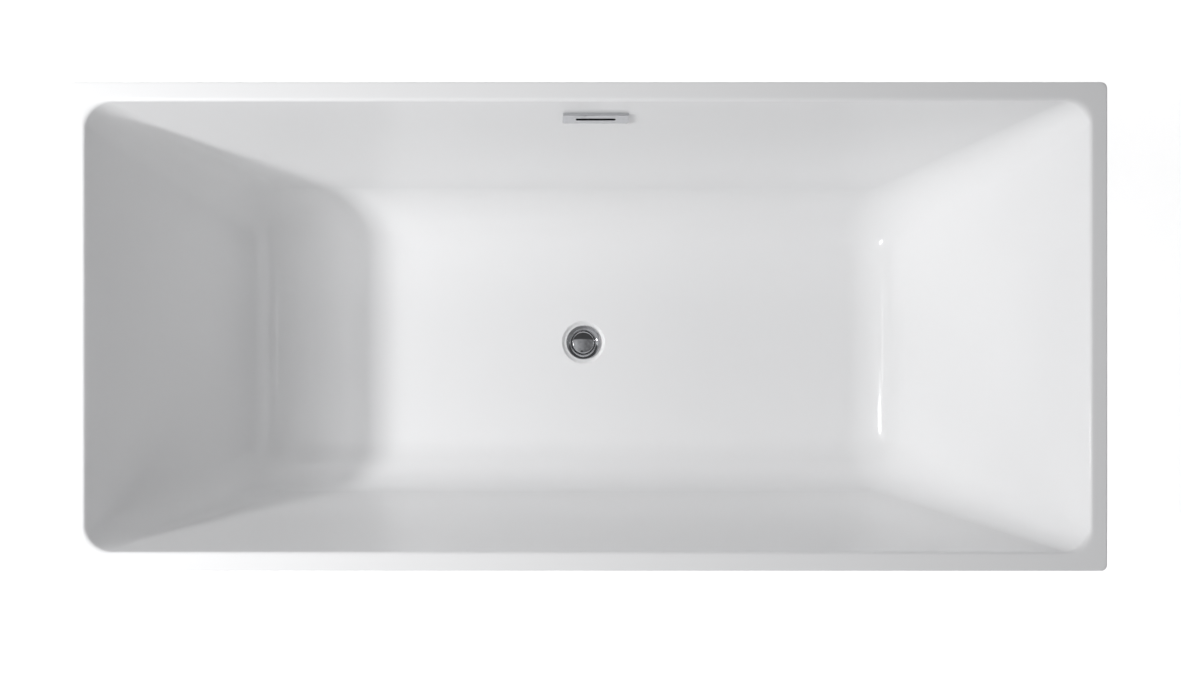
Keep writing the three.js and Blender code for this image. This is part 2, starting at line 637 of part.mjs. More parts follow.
/** The domed plug: a shallow dome that is part of a sphere, with a neck for its seal. */
function stopperCap() {
  const edge = PLUG_LIFT + PLUG_EDGE;
  const sphere = (PLUG_RADIUS ** 2 + PLUG_CROWN ** 2) / (2 * PLUG_CROWN);
  const dome = Array.from({ length: DOME_STEPS + 1 }, (_, i) => {
    const radius = PLUG_RADIUS * (1 - i / DOME_STEPS);
    return [radius, edge + PLUG_CROWN - sphere + Math.sqrt(sphere ** 2 - radius ** 2)];
  });
  return turned([
    [0, NECK_BOTTOM], [PLUG_NECK, NECK_BOTTOM], [PLUG_NECK, PLUG_LIFT], [PLUG_RADIUS, PLUG_LIFT], ...dome,
  ]);
}

place('drain_seal', ring(FLANGE_RADIUS - SEAL_INSET, DRAIN_HOLE, GAP, GAP + SEAL_HEIGHT),
  foam, 0, 0, 0, drain);
place('drain_flange', drainFlange(), chrome, 0, 0, 0, drain);
place('stopper_cap', stopperCap(), chrome, 0, 0, 0, drain);
place('stopper_seal', ring(
  PLUG_SEAL, PLUG_NECK + GAP, PLUG_LIFT - GAP - PLUG_SEAL_HEIGHT, PLUG_LIFT - GAP,
), rubber, 0, 0, 0, drain);
place('stopper_stem', ring(
  STEM_RADIUS, 0, CARTRIDGE_BOTTOM + CARTRIDGE_FLOOR + STEM_END_ROOM, NECK_BOTTOM - GAP, SMALL_SIDES,
), brass, 0, 0, 0, drain);
place('stopper_cartridge', cartridge, brass, 0, 0, 0, drain);

// ---------------------------------------------------------------- waste body, nut and elbow

const GASKET_TOP = RECESS_UNDER - GAP;
const BODY_TOP = GASKET_TOP - GASKET_HEIGHT - GAP;

/** A round bar along +Y, from one distance behind the drain's axis to another. */
const pointingBack = (radius, from, to, z) =>
  ring(radius, 0, from, to, ROUND_SIDES).rotate([-90, 0, 0]).translate([0, 0, z]);

function wasteBody() {
  const threadEnd = RECESS - TAIL_LENGTH - GAP;
  const outside = turned([
    [0, BODY_BOTTOM], [BODY_NECK, BODY_BOTTOM], [BODY_NECK, BODY_BOTTOM + BODY_NECK_HEIGHT],
    [BODY_RADIUS, BODY_BOTTOM + BODY_NECK_HEIGHT], [BODY_RADIUS, BODY_TOP - BODY_FLANGE],
    [GASKET_RADIUS, BODY_TOP - BODY_FLANGE], [GASKET_RADIUS, BODY_TOP], [0, BODY_TOP],
  ]).add(pointingBack(SPIGOT_RADIUS, BODY_BORE + JOIN, PORT_REACH, PORT_Z));
  return outside
    .subtract(ring(THREAD_RADIUS + THREAD_CLEARANCE, 0, threadEnd, BODY_TOP + CUT))
    .subtract(ring(BODY_BORE, 0, BODY_BOTTOM - CUT, threadEnd + CUT))
    .subtract(pointingBack(SPIGOT_RADIUS - SPIGOT_WALL, 0, PORT_REACH + CUT, PORT_Z));
}

const COLLAR_TOP = BODY_BOTTOM - GAP;
const COLLAR_BOTTOM = COLLAR_TOP - COLLAR_HEIGHT;
const UNION_BOTTOM = COLLAR_BOTTOM - GAP - UNION_LIP;
const OUTLET_Z = UNION_BOTTOM - GAP - ELBOW_BEND;

function wasteElbow() {
  const path = bentPath(
    new THREE.Vector3(0, 0, COLLAR_TOP), new THREE.Vector3(0, 0, OUTLET_Z),
    new THREE.Vector3(0, ELBOW_REACH, OUTLET_Z), ELBOW_BEND,
  );
  return tube(path, PIPE_RADIUS, PIPE_RADIUS - PIPE_WALL, ROUND_SIDES, ELBOW_STEPS)
    .add(ring(BODY_NECK, PIPE_RADIUS - JOIN, COLLAR_BOTTOM, COLLAR_TOP));
}

const UNION_BORE = BODY_NECK + THREAD_CLEARANCE;
const unionNut = turned([
  [UNION_BORE + UNION_WALL, UNION_BOTTOM],
  [UNION_BORE + UNION_WALL, BODY_BOTTOM + UNION_COVER], [UNION_BORE, BODY_BOTTOM + UNION_COVER],
  [UNION_BORE, COLLAR_BOTTOM - GAP], [PIPE_RADIUS + THREAD_CLEARANCE, COLLAR_BOTTOM - GAP],
  [PIPE_RADIUS + THREAD_CLEARANCE, UNION_BOTTOM],
]);

place('drain_gasket', ring(GASKET_RADIUS, DRAIN_HOLE, GASKET_TOP - GASKET_HEIGHT, GASKET_TOP),
  rubber, DRAIN_X);
place('waste_body', wasteBody(), whitePlastic, DRAIN_X);
place('union_nut', unionNut, whitePlastic, DRAIN_X);
place('waste_elbow', wasteElbow(), whitePlastic, DRAIN_X);

// ---------------------------------------------------------------- overflow on the back wall

/** The chrome cover: a shallow box that is open towards the wall, with one slot in its face. */
function overflowCover() {
  const face = -GAP - COVER_DEPTH;
  return wallPlate(COVER_WIDTH, COVER_HEIGHT, COVER_CORNER, face, -GAP)
    .subtract(wallPlate(
      COVER_WIDTH - 2 * COVER_WALL, COVER_HEIGHT - 2 * COVER_WALL, COVER_CORNER - COVER_WALL,
      face + COVER_WALL, CUT,
    ))
    .subtract(wallPlate(SLOT_WIDTH, SLOT_HEIGHT, SLOT_CORNER, face - CUT, face + COVER_WALL + CUT));
}

// The housing fills the room between the back wall and the skirt, less a clearance at its top.
const housingTop = HOUSING_HEIGHT / 2;
const skirtFace = skirtSection(OVERFLOW_Z + housingTop, SKIRT + HOUSING_OFF_SKIRT).halfY;
const HOUSING_BACK = (skirtFace - OVERFLOW_Y - housingTop * Math.sin(SIDE_SLOPE)) / Math.cos(SIDE_SLOPE);

// The spigot points straight down, so it is turned back by the wall's slope. It stands in the
// middle of the room that the basin leaves at its top and the skirt leaves at its hose clamp.
const SPIGOT_TOP_Z = OVERFLOW_Z - housingTop + HOUSING_WALL;
const CLAMP_RADIUS = HOSE_RADIUS + GAP + CLAMP_WALL;
const nearBasin = wallPlane(SPIGOT_TOP_Z - FLOOR_HEIGHT, OPENING_Y, SIDE_SLOPE, SHELL) + SPIGOT_RADIUS;
const nearSkirt = skirtSection(SPIGOT_TOP_Z - SPIGOT_LENGTH, SKIRT).halfY - CLAMP_RADIUS;
const spigotPlace = new THREE.Vector3(OVERFLOW_X, (nearBasin + nearSkirt) / 2, SPIGOT_TOP_Z);
const spigotTop = spigotPlace.clone().applyMatrix4(backWall.matrix.clone().invert());
const spigot = (radius, length) => ring(radius, 0, -length, 0, ROUND_SIDES)
  .rotate([THREE.MathUtils.radToDeg(SIDE_SLOPE), 0, 0])
  .translate(spigotTop.toArray());

function overflowHousing() {
  let housing = wallPlate(HOUSING_WIDTH, HOUSING_HEIGHT, HOUSING_CORNER, HOUSING_FRONT, HOUSING_BACK)
    .add(spigot(SPIGOT_RADIUS, SPIGOT_LENGTH))
    .subtract(spigot(SPIGOT_RADIUS - SPIGOT_WALL, SPIGOT_LENGTH + CUT))
    .subtract(wallPlate(
      WALL_HOLE_WIDTH + 2 * HOUSING_OVER_HOLE, HOUSING_HEIGHT - 2 * HOUSING_WALL,
      HOUSING_CORNER - HOUSING_WALL,
      HOUSING_FRONT - CUT, HOUSING_BACK - HOUSING_WALL,
    ));
  for (const hole of screwHoles(HOUSING_FRONT - CUT, HOUSING_BACK - HOUSING_WALL)) {
    housing = housing.subtract(hole);
  }
  return housing;
}

function overflowGasket() {
  const from = SHELL + GAP;
  let gasket = wallPlate(
    HOUSING_WIDTH - 2 * OVERFLOW_GASKET_INSET, OVERFLOW_GASKET_HEIGHT,
    HOUSING_CORNER - OVERFLOW_GASKET_INSET, from, from + OVERFLOW_GASKET,
  ).subtract(wallHole(from - CUT, from + OVERFLOW_GASKET + CUT));
  for (const hole of screwHoles(from - CUT, from + OVERFLOW_GASKET + CUT)) gasket = gasket.subtract(hole);
  return gasket;
}

const overflowScrew = (x) => wallDisc(OVERFLOW_SCREW_HEAD_RADIUS, x, -GAP - OVERFLOW_SCREW_HEAD, -GAP)
  .add(wallDisc(OVERFLOW_SCREW_RADIUS, x, -GAP - JOIN, HOUSING_BACK - HOUSING_WALL - SCREW_TIP_ROOM));

place('overflow_cover', overflowCover(), chrome, 0, 0, 0, backWall);
place('overflow_screw_left', overflowScrew(-OVERFLOW_SCREW_X), zinc, 0, 0, 0, backWall);
place('overflow_screw_right', overflowScrew(OVERFLOW_SCREW_X), zinc, 0, 0, 0, backWall);
place('overflow_gasket', overflowGasket(), rubber, 0, 0, 0, backWall);
place('overflow_housing', overflowHousing(), blackPlastic, 0, 0, 0, backWall);

// ---------------------------------------------------------------- overflow hose

const hoseTop = spigotPlace.clone().setZ(SPIGOT_TOP_Z - SPIGOT_LENGTH + HOSE_OVERLAP);
const hoseEnd = new THREE.Vector3(DRAIN_X, PORT_REACH - HOSE_OVERLAP, PORT_Z);

/** Down behind the basin, and then forward under the frame to the waste body's side port. */
function hosePath() {
  const below = hoseTop.clone().add(new THREE.Vector3(0, 0, -HOSE_STRAIGHT));
  const before = hoseEnd.clone().add(new THREE.Vector3(0, HOSE_STRAIGHT, 0));
  const knee = new THREE.Vector3(
    (OVERFLOW_X + DRAIN_X) / 2, skirtSection(PORT_Z, SKIRT + HOSE_OFF_SKIRT).halfY, PORT_Z,
  );
  const path = new THREE.CurvePath();
  path.add(new THREE.LineCurve3(hoseTop, below));
  for (const run of bentPath(below, knee, before, HOSE_KNEE).curves) path.add(run);
  path.add(new THREE.LineCurve3(before, hoseEnd));
  return path;
}

place('overflow_hose', tube(hosePath(), HOSE_RADIUS, HOSE_RADIUS - HOSE_WALL, HOSE_SIDES, HOSE_STEPS),
  greyPlastic);

const clamp = ring(CLAMP_RADIUS, HOSE_RADIUS + GAP, -CLAMP_WIDTH / 2, CLAMP_WIDTH / 2);
const CLAMP_SET = HOSE_OVERLAP / 2; // from the hose's end to the middle of its clamp
place('hose_clamp_top', clamp, zinc, hoseTop.x, hoseTop.y, hoseTop.z - CLAMP_SET);
place('hose_clamp_bottom', clamp.rotate([90, 0, 0]), zinc, hoseEnd.x, hoseEnd.y + CLAMP_SET, hoseEnd.z);

export default tub;
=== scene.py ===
# %% [markdown]
# # A freestanding bathtub
# The tub is a white acrylic basin that hangs by its rim on an outer skirt. Under its floor are a
# board, a steel frame on six levelling feet, a pop-up waste and the pipe of the overflow. The packed
# design holds every piece at its real size and place, and this script puts a finely made surface
# round each of them. We begin by loading the design.

# %% Load the frame
import math

import bmesh
import bpy
import numpy as np
from mathutils import Matrix, Vector


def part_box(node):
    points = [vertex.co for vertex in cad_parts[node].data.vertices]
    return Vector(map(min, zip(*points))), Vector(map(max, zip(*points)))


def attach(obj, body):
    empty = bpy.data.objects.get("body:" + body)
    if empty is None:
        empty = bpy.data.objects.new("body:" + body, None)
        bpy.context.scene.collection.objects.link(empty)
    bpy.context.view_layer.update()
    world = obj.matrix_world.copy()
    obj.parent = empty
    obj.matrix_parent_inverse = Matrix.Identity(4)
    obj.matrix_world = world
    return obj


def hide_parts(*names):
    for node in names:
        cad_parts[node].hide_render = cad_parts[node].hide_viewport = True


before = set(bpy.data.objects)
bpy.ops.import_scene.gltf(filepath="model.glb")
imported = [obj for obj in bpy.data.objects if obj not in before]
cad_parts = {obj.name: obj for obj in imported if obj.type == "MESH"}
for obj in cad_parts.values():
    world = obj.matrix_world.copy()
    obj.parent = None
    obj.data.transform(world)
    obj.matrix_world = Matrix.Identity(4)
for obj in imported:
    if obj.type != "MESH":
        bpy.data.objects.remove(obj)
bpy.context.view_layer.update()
MM = 0.001
GAP = 0.3 * MM  # the design leaves this between two pieces that touch


# %% [markdown]
# ## Where things are
# A designer places a piece by its neighbours. Here each place is read from the box of a piece in the
# frame, so the fine surfaces follow if the design changes. Three small functions give the lowest and
# the highest corner of a piece and the middle of it.

# %% Places
def low(node):
    """The lowest corner of a piece of the frame."""
    return np.array(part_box(node)[0])


def high(node):
    """The highest corner of a piece of the frame."""
    return np.array(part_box(node)[1])


def middle(node):
    """The middle of the box of a piece of the frame."""
    return (low(node) + high(node)) / 2


print("the drain is at", middle("drain_flange").round(4))


# %% [markdown]
# ## Lines with rounded corners
# No real edge is sharp: a mould, a press or a lathe leaves a small radius, and it is this radius that
# catches the light. A bevel modifier could add it, but it works by angle and would also take the
# edges that should stay. So each outline is drawn with sharp corners, and this function rounds the
# ones we ask for. It also keeps a point on the flat just beside each rounding, which stops the
# shading of the round from bleeding over the flat.

# %% Round the corners of a line
def soften(corners, radius, steps=4, loop=False):
    """A line through the corners, each of them rounded.

    Near a corner the line is the quadratic curve (1-t)^2 A + 2t(1-t) corner + t^2 B, from a point A
    one radius before the corner to a point B one radius after it. A loop comes back to its start.
    """
    corners = np.asarray(corners, float)
    if loop:
        corners = np.vstack([corners[-1:], corners, corners[:1]])
    legs = np.diff(corners, axis=0)
    lengths = np.maximum(np.hypot(legs[:, 0], legs[:, -1]), 1e-9)
    ways = legs / lengths[:, None]
    reach = np.minimum(radius, 0.3 * np.minimum(lengths[:-1], lengths[1:]))[:, None, None]
    t = np.linspace(0, 1, steps + 1)[None, :, None]
    apex = corners[1:-1, None]
    back, on = -ways[:-1, None], ways[1:, None]
    curve = apex + reach * ((1 - t) ** 2 * back + t**2 * on)
    rounds = np.concatenate([apex + 1.5 * reach * back, curve, apex + 1.5 * reach * on], axis=1)
    line = rounds.reshape(-1, corners.shape[1])
    return line if loop else np.vstack([corners[:1], line, corners[-1:]])


print("a softened right angle has", len(soften([[0, 0], [1, 0], [1, 1]], 0.1)), "points")


# %% [markdown]
# ## Two kinds of surface
# Nearly everything here is either turned, like a flange, or has sections that are rounded
# rectangles, like the basin. Both are grids: one parameter runs along a profile and the other runs
# round the piece. A turned surface needs a radius and a height for each row. A rounded rectangle
# needs its half length, half width, corner radius and height, and each column keeps its own share
# of the straight sides and its own angle on the corners, so any two sections can be joined.

# %% Turned surfaces
def turned(profile, sides=72):
    """Rows of circles: x = r cos(angle), y = r sin(angle), z = height, for each (r, height)."""
    profile = np.asarray(profile, float)
    angle = np.linspace(0, 2 * np.pi, sides, endpoint=False)
    radius, height = profile[:, 0, None], profile[:, -1, None]
    return np.stack([radius * np.cos(angle), radius * np.sin(angle), height + 0 * angle], -1)


def turned_freely(radius, height):
    """The same with a radius that also changes with the angle: both are arrays of row by column."""
    angle = np.linspace(0, 2 * np.pi, radius.shape[1], endpoint=False)
    return np.stack([radius * np.cos(angle), radius * np.sin(angle), height], -1)


print("a turned surface of two rows is a grid of", turned([[1, 0], [1, 1]]).shape[:2])


# %% Rounded rectangles
CORNER_COLUMNS = 16


def columns_round(long_side, short_side, corner=CORNER_COLUMNS):
    """For each column, the sign of its corner in x and y, shared out along the sides, and its angle."""
    signs = np.array([[1, 1], [-1, 1], [-1, -1], [1, -1], [1, 1]], float)
    parts = []
    for quarter, side in enumerate([long_side, short_side, long_side, short_side]):
        angle = (quarter + np.linspace(0, 1, corner + 1)) * np.pi / 2
        parts.append(np.column_stack([np.tile(signs[quarter], (corner + 1, 1)), angle]))
        share = np.linspace(0, 1, side + 1)[1:-1, None]
        along = signs[quarter] * (1 - share) + signs[quarter + 1] * share
        parts.append(np.column_stack([along, np.full(len(share), angle[-1])]))
    return np.vstack(parts)


def outline(rows, columns):
    """Rows of rounded rectangles, each given as (half x, half y, corner radius, height).

    A point is sign * (half - corner) + corner * (cos, sin) of its column's angle.
    """
    half_x, half_y, corner, height = np.asarray(rows, float).T[:, :, None]
    sign_x, sign_y, angle = columns.T
    return np.stack([
        sign_x * (half_x - corner) + corner * np.cos(angle),
        sign_y * (half_y - corner) + corner * np.sin(angle),
        height + 0 * angle,
    ], -1)


TUB_COLUMNS = columns_round(64, 24)
SMALL_COLUMNS = columns_round(2, 2, corner=6)
print("a section of the tub has", len(TUB_COLUMNS), "points")


# %% [markdown]
# ## From a grid to a piece
# A mesh can be made face by face, but a grid already says which points are neighbours, so all its
# quads are worked out at once. Where a row shrinks to a point its corners are merged, and then the
# normals are made to point outwards. A piece may hold several closed grids that pass into each
# other, such as a pipe with a spigot. The last lines put the piece on its body and hide the plain
# solid that it stands for.

# %% Quads of a grid
def quads_of(rows, columns, loop):
    """The quads of a grid that closes round its columns and, if it is a loop, round its rows."""
    row = np.arange(rows if loop else rows - 1)[:, None]
    column = np.arange(columns)[None, :]
    here, there, beside = row * columns, (row + 1) % rows * columns, (column + 1) % columns
    return np.stack([here + column, here + beside, there + beside, there + column], -1).reshape(-1, 4)


print("a closed grid of 3 by 4 points has", len(quads_of(3, 4, True)), "quads")


# %% Make a piece
MERGE = 1e-6


def build(name, grids, second_finish_from=None):
    """An object from closed grids, each a pair of its points and whether its rows make a loop."""
    points, faces, count = [], [], 0
    for grid, loop in grids:
        rows, columns = grid.shape[:2]
        points.append(grid.reshape(-1, 3))
        faces.append(quads_of(rows, columns, loop) + count)
        count += rows * columns
    faces = np.vstack(faces)
    mesh = bpy.data.meshes.new(name)
    mesh.from_pydata(np.vstack(points).tolist(), [], faces.tolist())
    if second_finish_from is not None:
        first_row = grids[0][0].shape[1] * second_finish_from
        mesh.polygons.foreach_set("material_index", (faces[:, 0] >= first_row).astype(np.int32))
    form = bmesh.new()
    form.from_mesh(mesh)
    bmesh.ops.remove_doubles(form, verts=form.verts, dist=MERGE)
    bmesh.ops.recalc_face_normals(form, faces=form.faces)
    form.to_mesh(mesh)
    form.free()
    piece = bpy.data.objects.new(name, mesh)
    bpy.context.scene.collection.objects.link(piece)
    return piece


# %% Cut a piece
def cut(piece, cutters):
    """Takes the cutters away from the piece for good."""
    for cutter in cutters:
        bite = piece.modifiers.new("bite", "BOOLEAN")
        bite.operation = "DIFFERENCE"
        bite.solver = "EXACT"
        bite.object = cutter
    graph = bpy.context.evaluated_depsgraph_get()
    mesh = bpy.data.meshes.new_from_object(piece.evaluated_get(graph))
    piece.modifiers.clear()
    piece.data = mesh
    for cutter in cutters:
        bpy.data.objects.remove(cutter)
    print(f"{piece.name}: {len(cutters)} cuts")


# %% Finish a piece
SHARP_ANGLE = 32


def smooth(piece):
    """Smooth shading, with the edges that turn by more than the sharp angle kept sharp."""
    piece.data.shade_smooth()
    piece.data.set_sharp_from_angle(angle=math.radians(SHARP_ANGLE))


def hand_over(piece, finishes, body, slot, *nodes):
    """Gives the piece its finishes and its body, and puts it in its CAD nodes' place. The slot is not used.
    """
    piece.data.materials.clear()
    for finish in finishes:
        piece.data.materials.append(finish)
    smooth(piece)
    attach(piece, body)
    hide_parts(*nodes)
    print(f"{piece.name}: {len(piece.data.polygons)} faces")


print("edges that turn by more than", SHARP_ANGLE, "degrees stay sharp")


# %% [markdown]
# ## A short language for finishes
# A material is a small sum: so much roughness plus a little noise. Wiring that up node by node is
# long, so this class wraps a socket and lets us write the sum as Python. The other class holds one
# material and makes any node from its type, its settings and its inputs.

# %% Sums of sockets
class Value:
    """A node's output that can stand in a sum; each sum adds a Math node."""

    def __init__(self, finish, socket):
        self.finish = finish
        self.socket = socket

    def math(self, operation, first, second):
        return self.finish.node("ShaderNodeMath", {"operation": operation}, {0: first, 1: second})

    def __add__(self, other):
        return self.math("ADD", self, other)

    def __sub__(self, other):
        return self.math("SUBTRACT", self, other)

    def __rsub__(self, other):
        return self.math("SUBTRACT", other, self)

    def __mul__(self, other):
        return self.math("MULTIPLY", self, other)

    __radd__ = __add__
    __rmul__ = __mul__


# %% One finish
class Finish:
    """A material round one Principled shader, read in Object coordinates."""

    def __init__(self, name, ior=1.5, **constants):
        self.material = bpy.data.materials.new(name)
        self.material.use_nodes = True
        self.tree = self.material.node_tree
        self.tree.nodes.clear()
        end = self.tree.nodes.new("ShaderNodeOutputMaterial")
        self.shader = self.tree.nodes.new("ShaderNodeBsdfPrincipled")
        self.tree.links.new(self.shader.outputs[0], end.inputs[0])
        self.place = self.node("ShaderNodeTexCoord", output="Object")
        self.shader.inputs["IOR"].default_value = ior
        for key, value in constants.items():
            self.shader.inputs[key.replace("_", " ").title()].default_value = value

    def feed(self, socket, value):
        """A Value is linked to the socket, and anything else is set on it."""
        if isinstance(value, Value):
            self.tree.links.new(value.socket, socket)
        else:
            socket.default_value = value

    def node(self, kind, settings=None, inputs=None, output=0):
        """A node of a kind, with its settings set first and then its inputs."""
        made = self.tree.nodes.new(kind)
        for key, value in (settings or {}).items():
            if key == "stops":
                self.set_stops(made.color_ramp, value)
            else:
                setattr(made, key, value)
        for key, value in (inputs or {}).items():
            self.feed(made.inputs[key], value)
        return Value(self, made.outputs[output])

    def set_stops(self, ramp, stops):
        """The stops of a ramp, each a position with a grey level or a colour."""
        while len(ramp.elements) < len(stops):
            ramp.elements.new(1.0)
        for element, (position, level) in zip(ramp.elements, stops):
            element.position = position
            element.color = (*level, 1) if hasattr(level, "__len__") else (level, level, level, 1)

    def stretched(self, *factors):
        """The place with each axis multiplied by its factor."""
        return self.node("ShaderNodeVectorMath", {"operation": "MULTIPLY"}, {0: self.place, 1: factors})

    def noise(self, scale, detail=3.0, place=None):
        """Cloudy noise round one half; the scale is in features to the metre."""
        inputs = {"Vector": place or self.place, "Scale": scale, "Detail": detail}
        return self.node("ShaderNodeTexNoise", {}, inputs)

    def cells(self, scale, output="Color"):
        """Cells with a random colour each, or the distance to each cell's middle."""
        return self.node("ShaderNodeTexVoronoi", {}, {"Vector": self.place, "Scale": scale}, output)

    def ramp(self, value, *stops):
        """The value passed through a ramp of stops."""
        return self.node("ShaderNodeValToRGB", {"stops": stops}, {0: value})

    def mix(self, mask, first, second):
        """A colour between the first, where the mask is 0, and the second, where it is 1."""
        inputs = {0: mask, 6: (*first, 1), 7: (*second, 1)}
        return self.node("ShaderNodeMix", {"data_type": "RGBA"}, inputs, output=2)

    def bump(self, height, depth, strength=1.0):
        """Feeds the normal with a height, whose whole range is a depth in metres."""
        inputs = {"Height": height, "Distance": depth, "Strength": strength}
        self.feed(self.shader.inputs["Normal"], self.node("ShaderNodeBump", {}, inputs))

    def vary(self, colour=None, roughness=None):
        """Feeds the base colour and the roughness."""
        for name, value in (("Base Color", colour), ("Roughness", roughness)):
            if value is not None:
                self.feed(self.shader.inputs[name], value)


# %% [markdown]
# ## Acrylic and its laminate
# The basin and the skirt are sheets of sanitary acrylic, heated and drawn over a mould. The face is
# glossy and very even, but the sheet stretches as it is drawn, which leaves a faint waviness that
# only the reflections show. So the colour hardly changes, the roughness changes a little, and two
# soft noises tilt the normal as waves of some tens of microns would. The hidden side is sprayed with
# glass fibre and resin: short strands lie in all directions, under a yellowish resin.

# %% Acrylic
def make_acrylic():
    """Glossy white acrylic: nearly white, with a faint waviness and finer orange peel."""
    finish = Finish("gloss_acrylic", ior=1.49, coat_weight=0.35, coat_roughness=0.04)
    clouds = finish.noise(3.0)
    finish.vary(
        finish.mix(clouds, (0.885, 0.888, 0.895), (0.905, 0.906, 0.908)),
        0.10 + 0.05 * finish.noise(26.0),
    )
    finish.bump(finish.noise(9.0, 1.0) + 0.04 * finish.noise(420.0, 1.0), 0.00012, 0.35)
    return finish.material


acrylic = make_acrylic()
print("made", acrylic.name)


# %% Fibreglass laminate
def make_laminate():
    """Chopped strands in resin: three sets of long thin noise at angles, over cloudy resin."""
    finish = Finish("fibreglass_laminate", ior=1.53)
    strands = finish.noise(1.0, 4.0, finish.stretched(60, 700, 420))
    strands = strands + finish.noise(1.0, 4.0, finish.stretched(700, 70, 300))
    strands = strands + finish.noise(1.0, 4.0, finish.stretched(380, 420, 60))
    mask = finish.ramp(strands * 0.333, (0.40, 0.0), (0.60, 1.0))
    resin = finish.noise(14.0)
    finish.vary(finish.mix(mask, (0.62, 0.60, 0.50), (0.80, 0.79, 0.73)), 0.34 + 0.2 * resin)
    finish.bump(strands, 0.0009, 0.8)
    return finish.material


laminate = make_laminate()
print("made", laminate.name)

# %% [markdown]
# ## Metals
# Chrome plate is a mirror, so what matters is what little it lacks: dried water leaves faint rings
# and wiping leaves fine lines, and both only raise the roughness. Galvanised steel is known by its
# spangle, the crystals in which zinc sets, each a slightly different grey. Zinc plating on small
# parts is finer and a little blue. Brass that has been turned keeps the rings of the tool.


# %% Chrome
def make_chrome():
    """A mirror with faint water marks: roughness rises in small cloudy patches."""
    finish = Finish("polished_chrome", metallic=1.0)
    marks = finish.ramp(finish.noise(130.0, 5.0), (0.52, 0.0), (0.72, 1.0))
    wiped = finish.noise(1.0, 2.0, finish.stretched(90, 900, 900))
    finish.vary(
        finish.mix(marks, (0.66, 0.665, 0.685), (0.60, 0.605, 0.62)),
        0.035 + 0.06 * marks + 0.03 * wiped,
    )
    finish.bump(finish.noise(260.0, 1.0), 0.00001, 0.3)
    return finish.material


chrome = make_chrome()
print("made", chrome.name)


# %% Galvanised steel
def make_galvanised():
    """Zinc spangle: cells 8 mm across with their own grey and roughness, under a dull bloom."""
    finish = Finish("galvanised_steel_spangle", metallic=0.9)
    spangle = finish.node("ShaderNodeSeparateColor", {}, {0: finish.cells(120.0)})
    bloom = finish.noise(35.0, 5.0)
    mask = 0.65 * spangle + 0.5 * bloom
    finish.vary(finish.mix(mask, (0.34, 0.355, 0.37), (0.62, 0.635, 0.65)), 0.30 + 0.22 * spangle)
    finish.bump(finish.noise(900.0, 2.0) + 0.5 * spangle, 0.00004, 0.6)
    return finish.material


galvanised = make_galvanised()
print("made", galvanised.name)


# %% Zinc plate
def make_zinc():
    """Bright zinc on small parts: even, faintly blue, duller in small clouds."""
    finish = Finish("zinc_plate", metallic=1.0)
    clouds = finish.noise(160.0, 5.0)
    finish.vary(finish.mix(clouds, (0.50, 0.53, 0.57), (0.72, 0.73, 0.74)), 0.20 + 0.28 * clouds)
    finish.bump(finish.noise(1400.0, 2.0), 0.00002, 0.5)
    return finish.material


zinc = make_zinc()
print("made", zinc.name)


# %% Turned brass
def make_brass():
    """Brass with the tool's rings: bands 0.8 mm apart along the axis, and darker spots."""
    finish = Finish("turned_brass", metallic=1.0)
    wave_settings = {"wave_type": "BANDS", "bands_direction": "Z"}
    wave_inputs = {"Vector": finish.place, "Scale": 400.0, "Distortion": 0.6}
    rings = finish.node("ShaderNodeTexWave", wave_settings, wave_inputs, output="Fac")
    tarnish = finish.noise(220.0, 4.0)
    finish.vary(finish.mix(tarnish, (0.66, 0.47, 0.19), (0.83, 0.65, 0.33)), 0.18 + 0.2 * tarnish)
    finish.bump(rings, 0.00003, 0.6)
    return finish.material


brass = make_brass()
print("made", brass.name)

# %% [markdown]
# ## Plastics, rubber, foam and board
# Moulded plastic has a fine grain from its mould and slight flow marks. Rubber is darker and dull,
# and carries a little pale bloom. Closed-cell foam is made of tiny bubbles. The board is a plywood
# panel whose grain runs along the tub, with the resin that glues it showing as duller patches.


# %% Moulded plastics
def make_plastic(name, dark, light, gloss):
    """Moulded plastic: a colour with soft flow marks, a fine grain, and roughness round the gloss."""
    finish = Finish(name, ior=1.5)
    flow = finish.noise(1.0, 3.0, finish.stretched(40, 40, 110))
    finish.vary(finish.mix(flow, dark, light), gloss - 0.06 + 0.14 * finish.noise(300.0))
    finish.bump(finish.noise(2600.0, 2.0), 0.00004, 0.5)
    return finish.material


black_plastic = make_plastic("black_nylon", (0.018, 0.018, 0.020), (0.040, 0.040, 0.043), 0.48)
white_plastic = make_plastic("white_polypropylene", (0.70, 0.705, 0.70), (0.80, 0.80, 0.79), 0.36)
grey_plastic = make_plastic("grey_hose_plastic", (0.30, 0.31, 0.32), (0.44, 0.45, 0.46), 0.45)
print("made", black_plastic.name, white_plastic.name, "and", grey_plastic.name)


# %% Rubber and foam
def make_rubber():
    """Black rubber with a dusty bloom that lies in clouds."""
    finish = Finish("black_rubber", ior=1.52)
    bloom = finish.ramp(finish.noise(90.0, 5.0), (0.45, 0.0), (0.75, 1.0))
    finish.vary(finish.mix(bloom, (0.012, 0.012, 0.012), (0.05, 0.05, 0.052)), 0.62 + 0.2 * bloom)
    finish.bump(finish.noise(1800.0, 2.0), 0.00006, 0.6)
    return finish.material


def make_foam():
    """Closed-cell foam: bubbles 0.6 mm across that dent the surface."""
    finish = Finish("closed_cell_foam", ior=1.45)
    bubbles = finish.cells(1600.0, "Distance")
    finish.vary(finish.mix(bubbles, (0.66, 0.66, 0.64), (0.84, 0.84, 0.82)), 0.8 + 0.15 * bubbles)
    finish.bump(bubbles, 0.0002, 0.8)
    return finish.material


rubber = make_rubber()
foam = make_foam()
print("made", rubber.name, "and", foam.name)


